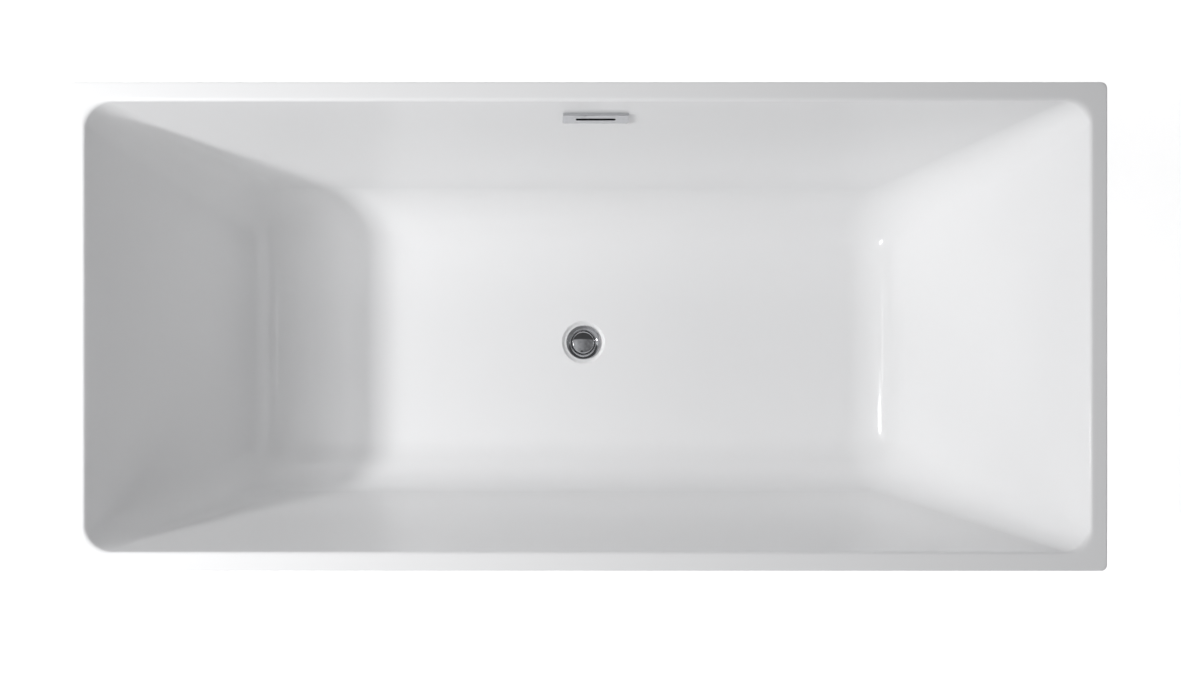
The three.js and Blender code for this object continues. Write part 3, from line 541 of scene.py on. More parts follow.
# %% Plywood
def make_plywood():
    """A veneer whose long thin grain runs along the tub, with resin in duller patches."""
    finish = Finish("resined_plywood", ior=1.5)
    warp = finish.noise(6.0, 2.0)
    grain = finish.noise(1.0, 6.0, finish.stretched(9, 260, 520))
    bands = finish.noise(1.0, 3.0, finish.stretched(2.2, 34, 34))
    mask = 0.5 * grain + 0.35 * bands + 0.15 * warp
    mask = finish.ramp(mask, (0.36, 0.0), (0.66, 1.0))
    finish.vary(finish.mix(mask, (0.30, 0.18, 0.085), (0.62, 0.44, 0.25)), 0.45 + 0.3 * warp)
    finish.bump(grain, 0.0003, 0.6)
    return finish.material


plywood = make_plywood()
print("made", plywood.name)

# %% [markdown]
# ## The basin
# The basin is what one sees of a bathtub: four sloping walls that turn into a flat floor through a
# large fillet, and corners whose radius grows towards the floor. It could be made by bending a plane
# with subdivision, but then its walls would not be truly flat. Here each height has its own rounded
# rectangle: its half length and half width follow the wall's slope and then the fillet's circle. The
# profile goes once round the whole shell, lip, rim, inside, floor, hole, underside and back, so
# the piece is closed and has its real thickness.

# %% Sizes of the basin
HALF_X, HALF_Y, TOP = high("basin_shell")
SHELL = 6 * MM
FLOOR = high("base_board")[2] + GAP + SHELL
DEPTH = TOP - FLOOR
OPENING_X = HALF_X - 28 * MM
OPENING_Y = HALF_Y - 31 * MM
END_SLOPE = math.radians(25.5)
SIDE_SLOPE = math.radians(11.7)
FILLET = 110 * MM
OPENING_CORNER = 43 * MM
FLOOR_CORNER = 95 * MM
LEAST_CORNER = 12 * MM
RIM_CORNER = 10 * MM
LIP = 5 * MM
LIP_DEPTH = 15 * MM
RIM_EDGE = 3 * MM
OPENING_EDGE = 5 * MM
print(f"the basin is {DEPTH:.3f} m deep and opens {2 * OPENING_X:.3f} by {2 * OPENING_Y:.3f} m")


# %% The walls' lines
def wall_line(height, half, slope, offset):
    """Half the distance between two facing walls, at heights above the floor.

    Above the fillet it falls with the slope's tangent. In the fillet it is the circle
    centre + sqrt(radius^2 - (FILLET - height)^2), whose centre touches both wall and floor.
    """
    radius = FILLET + offset
    plane = half - (DEPTH - height) * math.tan(slope) + offset / math.cos(slope)
    centre = half - DEPTH * math.tan(slope) - FILLET * math.tan(math.pi / 4 - slope / 2)
    circle = centre + np.sqrt(np.maximum(radius**2 - (FILLET - height) ** 2, 0))
    return np.where(height >= FILLET - radius * math.sin(slope), plane, circle), plane


def basin_rows(heights, offset=0.0):
    """Rounded rectangles of the basin at heights above its floor, moved out by an offset."""
    heights = np.asarray(heights, float)
    half_x, plane_x = wall_line(heights, OPENING_X, END_SLOPE, offset)
    half_y, plane_y = wall_line(heights, OPENING_Y, SIDE_SLOPE, offset)
    inset = (plane_x - half_x + plane_y - half_y) / 2
    cone = FLOOR_CORNER + (OPENING_CORNER - FLOOR_CORNER) * heights / DEPTH
    corner = np.maximum(cone - inset, LEAST_CORNER) + offset
    return np.column_stack([half_x, half_y, corner, FLOOR + heights])


def fillet_heights(offset, steps=26):
    """Heights at equal angles round the fillet, from the floor up to the steepest wall."""
    angle = np.linspace(0, np.pi / 2 - SIDE_SLOPE, steps)
    return FILLET - (FILLET + offset) * np.cos(angle)


half_way = basin_rows([DEPTH / 2])[0]
print(f"half way down, the basin is {2 * half_way[0]:.3f} by {2 * half_way[1]:.3f} m")


# %% [markdown]
# The floor has to change from a rectangle to a circle round the drain. Every column of the grid
# points at the drain, so a row in between is a share of the way from the outline to the circle.
# Round the drain the floor sinks by a few millimetres, so that the last water runs off.

# %% The floor round the drain
DRAIN = middle("drain_flange") * np.array([1, 1, 0])
TAIL_LENGTH = 45 * MM
RECESS = low("drain_flange")[2] + TAIL_LENGTH
RECESS_RIM = 43.5 * MM
RECESS_FOOT = 38 * MM
DRAIN_HOLE = 26.5 * MM
RECESS_UNDER = RECESS - SHELL
UNDER_RIM = 47 * MM
RINGS_UNDER = 10  # the last rows of the recess, which lie under the floor


def rings_round(centre, edge, profile):
    """Circles whose points lie in the direction in which each point of the edge lies."""
    way = (edge - centre)[:, :2]
    way = way / np.linalg.norm(way, axis=1)[:, None]
    profile = np.asarray(profile, float)
    flat = centre[None, None, :2] + profile[:, 0, None, None] * way[None]
    return np.concatenate([flat, np.broadcast_to(profile[:, 1, None, None], (*flat.shape[:2], 1))], -1)


def between(first, last, shares):
    """Rows that lie the given shares of the way from one row to another."""
    shares = np.asarray(shares, float)[:, None, None]
    return first[None] * (1 - shares) + last[None] * shares


print(f"the recess round the drain is {(FLOOR - RECESS) / MM:.1f} mm deep")


# %% The basin's profile
lip = [
    [HALF_X - LIP, HALF_Y - LIP, RIM_CORNER - LIP, TOP - LIP_DEPTH],
    [HALF_X, HALF_Y, RIM_CORNER, TOP - LIP_DEPTH],
    [HALF_X, HALF_Y, RIM_CORNER, TOP],
    [OPENING_X, OPENING_Y, OPENING_CORNER, TOP],
    basin_rows([DEPTH - 25 * MM])[0],
]
inside = np.vstack([
    soften(lip, [1 * MM, RIM_EDGE, OPENING_EDGE], steps=6),
    basin_rows(np.linspace(DEPTH - 60 * MM, FILLET, 9)),
    basin_rows(fillet_heights(0)[::-1]),
])
recess = soften([
    [RECESS_RIM + 4 * MM, FLOOR], [RECESS_RIM, FLOOR], [RECESS_FOOT, RECESS], [DRAIN_HOLE, RECESS],
    [DRAIN_HOLE, RECESS_UNDER], [UNDER_RIM, RECESS_UNDER], [UNDER_RIM, FLOOR - SHELL],
], [3 * MM, 3 * MM, 0.5 * MM, 0.5 * MM, 1 * MM])
outside = np.vstack([
    basin_rows(fillet_heights(SHELL), SHELL),
    basin_rows(np.linspace(FILLET, DEPTH - SHELL, 8), SHELL),
    [[HALF_X - LIP, HALF_Y - LIP, RIM_CORNER - LIP, TOP - SHELL]],
])
print("rows inside, round the recess and outside:", len(inside), len(recess), len(outside))


# %% The basin's grid
def basin_grid():
    """The whole shell as one loop of rows, and the row at which its underside begins."""
    above = outline(inside, TUB_COLUMNS)
    below = outline(outside, TUB_COLUMNS)
    rings = rings_round(DRAIN, above[-1], recess)
    floor = between(above[-1], rings[0], np.linspace(0, 1, 14)[1:-1])
    under = between(rings[-1], below[0], np.linspace(0, 1, 6)[1:-1])
    under_start = len(above) + len(floor) + len(rings) - RINGS_UNDER
    return np.concatenate([above, floor, rings, under, below]), under_start


basin_points, basin_under = basin_grid()
basin_shell = build("basin_shell_formed", [(basin_points, True)], basin_under)
print("the basin's grid is", basin_points.shape[:2])

# %% [markdown]
# The overflow's hole and its two screw holes go through the sloping back wall. They are cut with
# solids that are made in a tilted frame: there y runs out through the wall and z runs up along it,
# so everything that belongs to the overflow can be made upright and then laid on the wall.

# %% The overflow's tilted frame
OVERFLOW_DROP = 55 * MM
OVERFLOW = np.array([
    middle("overflow_cover")[0], OPENING_Y - OVERFLOW_DROP * math.tan(SIDE_SLOPE), TOP - OVERFLOW_DROP,
])
WALL_HOLE = (82 * MM / 2, 18 * MM / 2, 8 * MM)
SCREW_PLACE = 47 * MM
SCREW_HOLE = 2.4 * MM


def on_wall(points):
    """Turns points (along, up, out) of the wall's frame by the wall's slope and moves them there."""
    along, up, out = np.moveaxis(points, -1, 0)
    sine, cosine = math.sin(SIDE_SLOPE), math.cos(SIDE_SLOPE)
    return np.stack([along, out * cosine + up * sine, up * cosine - out * sine], -1) + OVERFLOW


def with_ends(grid):
    """Closes a grid that is open at both ends with a point in the middle of each end."""
    ends = [np.repeat(row.mean(0)[None, None], grid.shape[1], axis=1) for row in (grid[0], grid[-1])]
    return np.concatenate([ends[0], grid, ends[1]])


print("the overflow is at", OVERFLOW.round(4))


# %% Cut the overflow's holes
hole_rows = [[*WALL_HOLE, -SHELL], [*WALL_HOLE, 2 * SHELL]]
cutters = [build("hole", [(with_ends(on_wall(outline(hole_rows, SMALL_COLUMNS))), False)])]
for side in (-1, 1):
    pin = turned([[SCREW_HOLE, -SHELL], [SCREW_HOLE, 2 * SHELL]], 24) + [side * SCREW_PLACE, 0, 0]
    cutters.append(build("hole", [(with_ends(on_wall(pin)), False)]))
cut(basin_shell, cutters)
hand_over(basin_shell, [acrylic, laminate], "tub", "acrylic", "basin_shell")

# %% [markdown]
# ## The skirt
# The skirt is the outside of the tub: a second drawn sheet that leans in a little towards the floor,
# with a flange at its top that is glued under the rim, and a hem turned in at its lower edge. It is
# one loop of rounded rectangles, as the basin is.

# %% Skirt
SKIRT = 4.5 * MM
SKIRT_LOW = low("outer_skirt")[2]
SKIRT_HIGH = high("outer_skirt")[2]
SKIRT_X, SKIRT_Y = high("outer_skirt")[:2]
TAPER_X = 35 * MM
TAPER_Y = 15 * MM
SKIRT_CORNER = 10 * MM
FLANGE = 14 * MM
HEM = 20 * MM


def skirt_row(height, offset):
    """The skirt's rounded rectangle at a height, moved in by an offset."""
    lean = (SKIRT_HIGH - height) / (SKIRT_HIGH - SKIRT_LOW)
    half_x = SKIRT_X - TAPER_X * lean - offset
    half_y = SKIRT_Y - TAPER_Y * lean - offset
    return [half_x, half_y, max(SKIRT_CORNER - offset, 1 * MM), height]


skirt_line = soften([
    skirt_row(SKIRT_LOW, HEM), skirt_row(SKIRT_LOW, 0), skirt_row(SKIRT_HIGH, 0),
    skirt_row(SKIRT_HIGH, FLANGE), skirt_row(SKIRT_HIGH - SKIRT, FLANGE),
    skirt_row(SKIRT_HIGH - SKIRT, SKIRT), skirt_row(SKIRT_LOW + SKIRT, SKIRT),
    skirt_row(SKIRT_LOW + SKIRT, HEM),
], [0.6 * MM, 4 * MM, 1.5 * MM, 0.6 * MM, 0.6 * MM, 3 * MM, 3 * MM, 0.6 * MM], steps=4, loop=True)
inner_from = 4 * 7  # four rounded corners of seven rows each
outer_skirt = build("outer_skirt_formed", [(outline(skirt_line, TUB_COLUMNS), True)], inner_from)
hand_over(outer_skirt, [acrylic, laminate], "tub", "acrylic", "outer_skirt")

# %% [markdown]
# ## Board and frame
# A plywood board stiffens the floor. Under it five square steel tubes carry the weight to the feet.
# A square tube is a rounded square that runs out along its outside and back along its inside, so
# its ends show the real wall. The screws that hold the board pass through the outer cross tubes.

# %% Board
BOARD_CORNER = 30 * MM
CUTOUT = 60 * MM
PILOT = 2.9 * MM
board_low, board_high = low("base_board"), high("base_board")


def board_grid():
    """Out along the top from the cut-out's circle to the edge, and back along the underside."""
    half_x, half_y = board_high[:2]
    edge = soften([
        [half_x - 20 * MM, half_y - 20 * MM, BOARD_CORNER - 20 * MM, board_high[2]],
        [half_x, half_y, BOARD_CORNER, board_high[2]],
        [half_x, half_y, BOARD_CORNER, board_low[2]],
        [half_x - 20 * MM, half_y - 20 * MM, BOARD_CORNER - 20 * MM, board_low[2]],
    ], 0.8 * MM)
    edge = outline(edge, TUB_COLUMNS)
    rings = soften([
        [CUTOUT + 6 * MM, board_low[2]], [CUTOUT, board_low[2]], [CUTOUT, board_high[2]],
        [CUTOUT + 6 * MM, board_high[2]],
    ], 0.8 * MM)
    rings = rings_round(DRAIN, edge[-1], rings)
    return np.concatenate([edge, rings])


screw_nodes = [f"frame_screw_{number}" for number in range(1, 5)]
base_board = build("base_board_panel", [(board_grid(), True)])
pilots = []
for node in screw_nodes:
    pilot = turned([[PILOT, board_low[2] - 5 * MM], [PILOT, high(node)[2] + 1 * MM]], 24)
    pilots.append(build("pilot", [(with_ends(pilot + middle(node) * [1, 1, 0]), False)]))
cut(base_board, pilots)
hand_over(base_board, [plywood], "tub", "plywood", "base_board")

# %% Square tubes
RAIL_WALL = 1.5 * MM
RAIL_EDGE = 2.6 * MM


def square_tube(node, along):
    """A tube in the box of a node, along axis 0 or 1: out on the outside, back on the inside."""
    half = (high(node) - low(node)) / 2
    side = half[2]
    bore = side - RAIL_WALL
    bore_edge = RAIL_EDGE - RAIL_WALL
    rows = soften([
        [side, side, RAIL_EDGE, -half[along]], [side, side, RAIL_EDGE, half[along]],
        [bore, bore, bore_edge, half[along]], [bore, bore, bore_edge, -half[along]],
    ], 0.3 * MM, steps=2, loop=True)
    across, up, out = np.moveaxis(outline(rows, SMALL_COLUMNS), -1, 0)
    order = [out, across, up] if along == 0 else [across, out, up]
    return np.stack(order, -1) + middle(node)


for node, along in [("long_rail_front", 0), ("long_rail_back", 0), ("cross_rail_left", 1),
                    ("cross_rail_middle", 1), ("cross_rail_right", 1)]:
    rail = build(node + "_tube", [(square_tube(node, along), True)])
    pins = []
    for screw in screw_nodes:
        place = middle(screw)
        if abs(place[0] - middle(node)[0]) < 5 * MM and along == 1:
            pin = turned([[PILOT, low(node)[2] - 5 * MM], [PILOT, high(node)[2] + 5 * MM]], 24)
            pins.append(build("pin", [(with_ends(pin + place * [1, 1, 0]), False)]))
    cut(rail, pins)
    hand_over(rail, [galvanised], "tub", "galvanised_steel", node)

# %% Caps in the rails' ends
CAP_HEAD = 3 * MM
CAP_CLEARANCE = 0.4 * MM


def cap_grid(node):
    """From the middle of the head, over its dished face and its edge, to the plug in the tube."""
    side = (high(node) - low(node))[2] / 2
    plug = side - RAIL_WALL - CAP_CLEARANCE
    length = (high(node) - low(node))[0]
    rows = soften([
        [0, 0, 0, -0.6 * MM], [side - 5 * MM, side - 5 * MM, 2 * MM, -0.6 * MM],
        [side - 4 * MM, side - 4 * MM, 3 * MM, 0], [side, side, RAIL_EDGE + 1 * MM, 0],
        [side, side, RAIL_EDGE + 1 * MM, -CAP_HEAD], [plug, plug, 1 * MM, -CAP_HEAD],
        [plug - 0.5 * MM, plug - 0.5 * MM, 1 * MM, -length], [0, 0, 0, -length],
    ], [0.5 * MM, 0.5 * MM, 1 * MM, 0.4 * MM, 0.3 * MM, 1 * MM], steps=3)
    across, up, out = np.moveaxis(outline(rows, SMALL_COLUMNS), -1, 0)
    outwards = np.sign(middle(node)[0])
    tip = high(node)[0] if outwards > 0 else low(node)[0]
    return np.stack([tip + outwards * out, across + middle(node)[1], up + middle(node)[2]], -1)


for side in ("front", "back"):
    for end in ("left", "right"):
        node = f"rail_cap_{side}_{end}"
        cap = build(node + "_moulded", [(cap_grid(node), False)])
        hand_over(cap, [black_plastic], "tub", "black_plastic", node)

# %% [markdown]
# ## Threads and hexagons
# A thread could be a spring-like coil joined to a rod, which is heavy and hard to close. It is
# simpler as one surface whose radius follows a zigzag: the zigzag moves on by one pitch for each
# turn round the axis. A hexagon is a radius too, the distance to the nearest flat, and a nut's
# chamfer is the smaller of that and a cone.


# %% Thread and hexagon
def thread(outer, depth, pitch, bottom, top, sides=24):
    """A rod whose radius is outer - depth * zigzag(height / pitch - angle / full turn)."""
    rows = int(round((top - bottom) / pitch * 4))
    height = np.linspace(bottom, top, rows + 1)[:, None] + np.zeros(sides)
    turn = np.arange(sides) / sides
    zigzag = np.abs(2 * ((height / pitch - turn) % 1.0) - 1)
    fade = np.clip(np.minimum(height - bottom, top - height) / pitch, 0, 1)
    radius = outer - depth * (1 - zigzag * fade)
    return with_ends(turned_freely(radius, height))


def hexagon(corner, bore, bottom, top, sides=72):
    """A nut or a hexagon head: radius = min(distance to the flats, a cone at each end)."""
    angle = np.arange(sides) / sides * 2 * np.pi
    flats = corner * math.cos(math.pi / 6) / np.cos(angle % (np.pi / 3) - np.pi / 6)
    chamfer = 0.13 * corner
    slope = chamfer * 0.6
    height = np.array([bottom, bottom + slope, bottom + slope * 1.1, top - slope * 1.1, top - slope, top])
    cone = corner + np.array([-chamfer, 0, 0, 0, 0, -chamfer])
    radius = np.minimum(flats[None], cone[:, None])
    grid = turned_freely(radius, height[:, None] + np.zeros(sides))
    if bore == 0:
        return with_ends(grid)
    wide = 0.8 * MM  # the chamfer at each end of the bore
    deep = 0.6 * MM
    bores = turned(soften([
        [bore + wide, top], [bore, top - deep], [bore, bottom + deep], [bore + wide, bottom],
    ], 0.2 * MM, 2), sides)
    return np.concatenate([grid, bores])


print("a hexagon head is a grid of", hexagon(5 * MM, 0, 0, 4 * MM).shape[:2])


# %% Screws in the frame
for node in screw_nodes:
    place = middle(node) * [1, 1, 0]
    foot, tip = low(node)[2], high(node)[2]
    washer = turned([[0, foot + 2.2 * MM], [5.2 * MM, foot + 2.2 * MM], [5.5 * MM, foot + 2.6 * MM],
                     [5.5 * MM, foot + 3 * MM], [0, foot + 3 * MM]], 48)
    screw = build(node + "_threaded", [
        (hexagon(4.4 * MM, 0, foot, foot + 2.4 * MM) + place, False),
        (washer + place, False),
        (thread(2.5 * MM, 0.5 * MM, 1.6 * MM, foot + 2.8 * MM, tip, 16) + place, False),
    ])
    hand_over(screw, [zinc], "tub", "zinc_steel", node)

# %% [markdown]
# ## Levelling feet
# Each foot is a plastic pad, a threaded stud that stands in it, a sleeve that is welded under the
# rail and a jam nut. The pad is a shallow cone with eight ribs: between them its top hollows
# down to a thin dish, and the ribs keep the straight line of the cone. The weld is a small bead of
# overlapping ripples where the sleeve meets the rail.

# %% Foot pads
PAD_EDGE = 4 * MM
PAD_NECK = 10 * MM
STUD_HOLE = 5.4 * MM
PAD_FLOOR = 4 * MM
RIBS = 8
WELD_RIPPLES = 14


def pad_grid(radius, height):
    """Over the pad from its underside to its socket: z = dish + (cone - dish) * rib(angle)."""
    sides = 96
    base = soften([[0, 0], [radius, 0], [radius, PAD_EDGE]], 1 * MM, 3)[:-1]
    out = np.linspace(0, 1, 12)
    cone = PAD_EDGE + (height - PAD_EDGE) * out
    dish = PAD_EDGE + (height - 1.5 * MM - PAD_EDGE) * out**3.2
    angle = np.arange(sides) / sides * 2 * np.pi
    rib = np.clip((np.cos(RIBS * angle) - 0.72) / 0.2, 0, 1)
    top_radius = radius - 0.4 * MM - (radius - 0.4 * MM - PAD_NECK) * out
    top = turned_freely(top_radius[:, None] + np.zeros(sides), dish[:, None] + (cone - dish)[:, None] * rib)
    socket = [[PAD_NECK, height], [STUD_HOLE, height], [STUD_HOLE, PAD_FLOOR], [0, PAD_FLOOR]]
    return np.concatenate([turned(base, sides), top, turned(soften(socket, 0.5 * MM), sides)])


print("a foot pad is a grid of", pad_grid(25 * MM, 20 * MM).shape[:2])


# %% Sleeves with their weld
def weld_bead(radius, top):
    """A small ring whose section is a circle, with a ripple that runs round it."""
    sides = 144
    angle = np.arange(sides) / sides * 2 * np.pi
    round_it = np.linspace(0, 2 * np.pi, 10, endpoint=False)[:, None]
    ripple = 1.7 * MM + 0.22 * MM * np.abs(np.sin(WELD_RIPPLES * angle))
    reach = radius + 0.2 * MM + ripple * np.cos(round_it)
    height = top - 1.5 * MM + 1.4 * MM * np.sin(round_it) + 0 * angle
    return turned_freely(reach, height)


def sleeve_grid(radius, bottom, top):
    """A tube with a chamfer at each end of its bore."""
    return turned(soften([
        [radius, bottom], [radius, top], [STUD_HOLE, top], [STUD_HOLE, bottom],
    ], 0.8 * MM, 2, loop=True), 64)


print("a weld bead is a grid of", weld_bead(9 * MM, 0).shape[:2])


# %% Six feet
for side in ("front", "back"):
    for where in ("left", "middle", "right"):
        tag = f"{side}_{where}"
        stud_node, pad_node = f"foot_stud_{tag}", f"foot_pad_{tag}"
        nut_node, sleeve_node = f"foot_nut_{tag}", f"foot_sleeve_{tag}"
        place = middle(stud_node) * [1, 1, 0]
        pad = build(pad_node + "_ribbed", [
            (pad_grid(high(pad_node)[0] - place[0], high(pad_node)[2]) + place, False)])
        hand_over(pad, [black_plastic], f"pad_{tag}", "black_plastic", pad_node)
        wrench = high(pad_node)[2] + GAP
        stud = build(stud_node + "_threaded", [
            (thread(5 * MM, 0.75 * MM, 1.5 * MM, low(stud_node)[2], high(stud_node)[2]) + place, False),
            (hexagon(7.5 * MM, 0, wrench, wrench + 7 * MM) + place, False)])
        hand_over(stud, [zinc], f"stud_{tag}", "zinc_steel", stud_node)
        nut = build(nut_node + "_chamfered", [
            (hexagon(9.8 * MM, STUD_HOLE, low(nut_node)[2], high(nut_node)[2]) + place, True)])
        hand_over(nut, [zinc], "tub", "zinc_steel", nut_node)
        top = high(sleeve_node)[2]
        sleeve = build(sleeve_node + "_welded", [
            (sleeve_grid(9 * MM, low(sleeve_node)[2], top) + place, True),
            (weld_bead(9 * MM, top) + place, True)])
        hand_over(sleeve, [zinc], "tub", "zinc_steel", sleeve_node)

# %% [markdown]
# ## The drain
# The flange is a dished ring of chromed brass: its edge lies on the floor of the recess, its face
# falls to a seat for the plug, and below it a threaded tail goes down through the floor with a
# cross of bars in it. The plug is a shallow dome, part of a sphere, with a fine bevelled edge that
# shows as a thin bright ring. Both are turned, so a profile is all they need.

# %% Flange
THROAT = 19.5 * MM
TAIL = 22.5 * MM
SPIDER_RISE = 7 * MM
SPIDER_BAR = 5 * MM


def in_drain(points):
    """Moves points from the drain's own frame, whose zero is the floor of the recess."""
    return points + DRAIN + [0, 0, RECESS]


flange_line = soften(np.array([
    [19.5, -45], [22.5, -45], [22.5, -4], [25.5, -1.5], [25.5, 1.8], [35, 1.8], [35, 3.1], [33.9, 4.0],
    [31, 3.5], [27.5, 2.2], [24.6, 0.4], [22, -1.5], [19.5, -4],
]) * MM, np.array([0.4, 0.4, 0.8, 0.8, 0.3, 0.3, 0.5, 0.9, 1.2, 1.2, 0.8, 0.8, 1.2]) * MM, 4, loop=True)
tail = thread(TAIL, 0.6 * MM, 2 * MM, -TAIL_LENGTH, -9 * MM, 64)[1:-1]
tail_bore = turned([[THROAT + 0.3 * MM, -9 * MM], [THROAT + 0.3 * MM, -TAIL_LENGTH]], 64)
bar_low = SPIDER_RISE - TAIL_LENGTH


def bar(half_x, half_y, corner, bottom, top):
    """A bar or a disc with rounded edges, closed by a point at each end."""
    rows = soften([
        [0, 0, 0, bottom], [half_x, half_y, corner, bottom], [half_x, half_y, corner, top], [0, 0, 0, top],
    ], 0.5 * MM, 2)
    return outline(rows, SMALL_COLUMNS)


half_bar = SPIDER_BAR / 2
bar_top = bar_low + SPIDER_BAR
drain_flange = build("drain_flange_turned", [
    (in_drain(turned(flange_line, 128)), True),
    (in_drain(np.concatenate([tail, tail_bore])), True),
    (in_drain(bar(THROAT + 1 * MM, half_bar, 0.8 * MM, bar_low, bar_top)), False),
    (in_drain(bar(half_bar, THROAT + 1 * MM, 0.8 * MM, bar_low, bar_top)), False),
    (in_drain(bar(8 * MM, 8 * MM, 8 * MM, bar_low - 0.1 * MM, bar_top + 0.1 * MM)), False),
])
hand_over(drain_flange, [chrome], "tub", "chrome", "drain_flange")

# %% Plug
PLUG = 23 * MM
DOME_EDGE = 2.4 * MM
DOME_RISE = 4 * MM


def plug_line():
    """Neck, underside, bevelled edge, a fine groove, and the dome: z = top - R + sqrt(R^2 - r^2)."""
    sphere = (PLUG**2 + DOME_RISE**2) / (2 * DOME_RISE)
    radius = np.linspace(21.3 * MM, 0, 24)
    dome = DOME_EDGE + DOME_RISE - sphere + np.sqrt(sphere**2 - radius**2)
    rim = soften(np.array([
        [0, -2.6], [14.5, -2.6], [14.5, 1.0], [23, 1.0], [23, 2.3], [22.3, 3.0], [21.9, 3.0], [21.6, 2.75],
        [21.3, 2.96],
    ]) * MM, 0.3 * MM, 3)
    return np.vstack([rim[:-1], np.column_stack([radius, dome])])


stopper_cap = build("stopper_cap_domed", [(in_drain(turned(plug_line(), 128)), False)])
hand_over(stopper_cap, [chrome], "stopper", "chrome", "stopper_cap")

# %% [markdown]
# Under the plug sit its rubber ring, its stem and the brass cartridge that the stem slides in. The
# ring has a thin lip that bends against the seat, so it is drawn as a wedge. The stem has two
# grooves for its catch, and the cartridge a knurled grip, a radius that ripples with the angle.

# %% Seal, stem and cartridge
stopper_seal = build("stopper_seal_lipped", [(in_drain(turned(soften(np.array([
    [14.8, -1.3], [17.5, -1.3], [20.8, -0.3], [20.8, 0.2], [18.5, 0.7], [14.8, 0.7],
]) * MM, 0.3 * MM, 3, loop=True), 96)), True)])
hand_over(stopper_seal, [rubber], "stopper", "rubber", "stopper_seal")

stem_low = low("stopper_stem")[2] - RECESS
stem_high = high("stopper_stem")[2] - RECESS
STEM = 3.2 * MM
stem_line = [[0, stem_low], [STEM, stem_low]]
for notch in (4 * MM, 9 * MM):
    stem_line += [[STEM, stem_low + notch], [STEM - 0.7 * MM, stem_low + notch + 0.4 * MM],
                  [STEM - 0.7 * MM, stem_low + notch + 1.6 * MM], [STEM, stem_low + notch + 2 * MM]]
stem_line += [[STEM, stem_high], [0, stem_high]]
stopper_stem = build("stopper_stem_turned", [(in_drain(turned(soften(stem_line, 0.3 * MM, 2), 48)), False)])
hand_over(stopper_stem, [brass], "stopper", "brass", "stopper_stem")

cartridge_low = low("stopper_cartridge")[2] - RECESS
cartridge_high = high("stopper_cartridge")[2] - RECESS
CARTRIDGE = 7.5 * MM
KNURLS = 30
KNURL_DEPTH = 0.18 * MM
cartridge_line = soften([
    [0, cartridge_low], [CARTRIDGE, cartridge_low], [CARTRIDGE, cartridge_low + 6 * MM],
    [CARTRIDGE - 0.8 * MM, cartridge_low + 6.8 * MM], [CARTRIDGE - 0.8 * MM, cartridge_high - 8 * MM],
    [CARTRIDGE, cartridge_high - 7.2 * MM], [CARTRIDGE, cartridge_high], [3.6 * MM, cartridge_high],
    [3.6 * MM, cartridge_low + 3 * MM], [0, cartridge_low + 3 * MM],
], 0.35 * MM, 3)
knurl_angle = np.arange(120) / 120 * 2 * np.pi
knurled = (cartridge_line[:, 0] > CARTRIDGE - 0.2 * MM) & (cartridge_line[:, 1] > cartridge_high - 6.8 * MM)
knurl = np.where(knurled[:, None], KNURL_DEPTH * np.cos(KNURLS * knurl_angle)[None] - KNURL_DEPTH, 0)
cartridge_radius = cartridge_line[:, 0, None] + knurl
cartridge_height = cartridge_line[:, 1, None] + 0 * knurl
cartridge = build("stopper_cartridge_knurled", [
    (in_drain(turned_freely(cartridge_radius, cartridge_height)), False)])
hand_over(cartridge, [brass], "tub", "brass", "stopper_cartridge")


# %% Flat seals round the drain
def flat_ring(name, node, inner, finish, slot):
    """A flat ring in a node's box, with edges that bulge a little as they are squeezed."""
    outer = high(node)[0] - middle(node)[0]
    bottom, top = low(node)[2], high(node)[2]
    bulge = 0.3 * (top - bottom)
    line = soften([
        [outer - bulge, bottom], [outer, (bottom + top) / 2], [outer - bulge, top],
        [inner + bulge, top], [inner, (bottom + top) / 2], [inner + bulge, bottom],
    ], 0.4 * (top - bottom), 3, loop=True)
    ring = build(name, [(turned(line, 96) + middle(node) * [1, 1, 0], True)])
    hand_over(ring, [finish], "tub", slot, node)


flat_ring("drain_seal_foam", "drain_seal", DRAIN_HOLE, foam, "foam")
flat_ring("drain_gasket_squeezed", "drain_gasket", DRAIN_HOLE, rubber, "rubber")

# %% [markdown]
# ## Waste body, union nut and elbow
# Below the floor the tail screws into a plastic body, which has a barbed side port for the overflow's
# hose. A union nut with grip ribs holds the elbow to it, and the elbow turns the water to the back.
# A pipe is a circle carried along a path: each point of the path has its own tangent, and the circle
# stands square to it. The barbs, ribs and corrugations are all changes of radius along the way.


# %% A pipe along a path
def arc(corner, towards_start, towards_end, reach, steps):
    """Points on the arc that touches both lines of a corner at a reach from it."""
    half = math.acos(float(towards_start @ towards_end)) / 2
    radius = reach * math.tan(half)
    to_centre = towards_start + towards_end
    centre = corner + to_centre / np.linalg.norm(to_centre) * reach / math.cos(half)
    out = (corner + towards_start * reach - centre) / radius
    angle = np.linspace(0, math.pi - 2 * half, steps)[:, None]
    return centre + radius * (out * np.cos(angle) - towards_start * np.sin(angle))


def evenly(path, count):
    """The path with its points at equal distances, and how far along it each of them is."""
    so_far = np.concatenate([[0], np.cumsum(np.linalg.norm(np.diff(path, axis=0), axis=1))])
    travelled = np.linspace(0, so_far[-1], count)
    points = np.stack([np.interp(travelled, so_far, path[:, axis]) for axis in range(3)], -1)
    return points, travelled


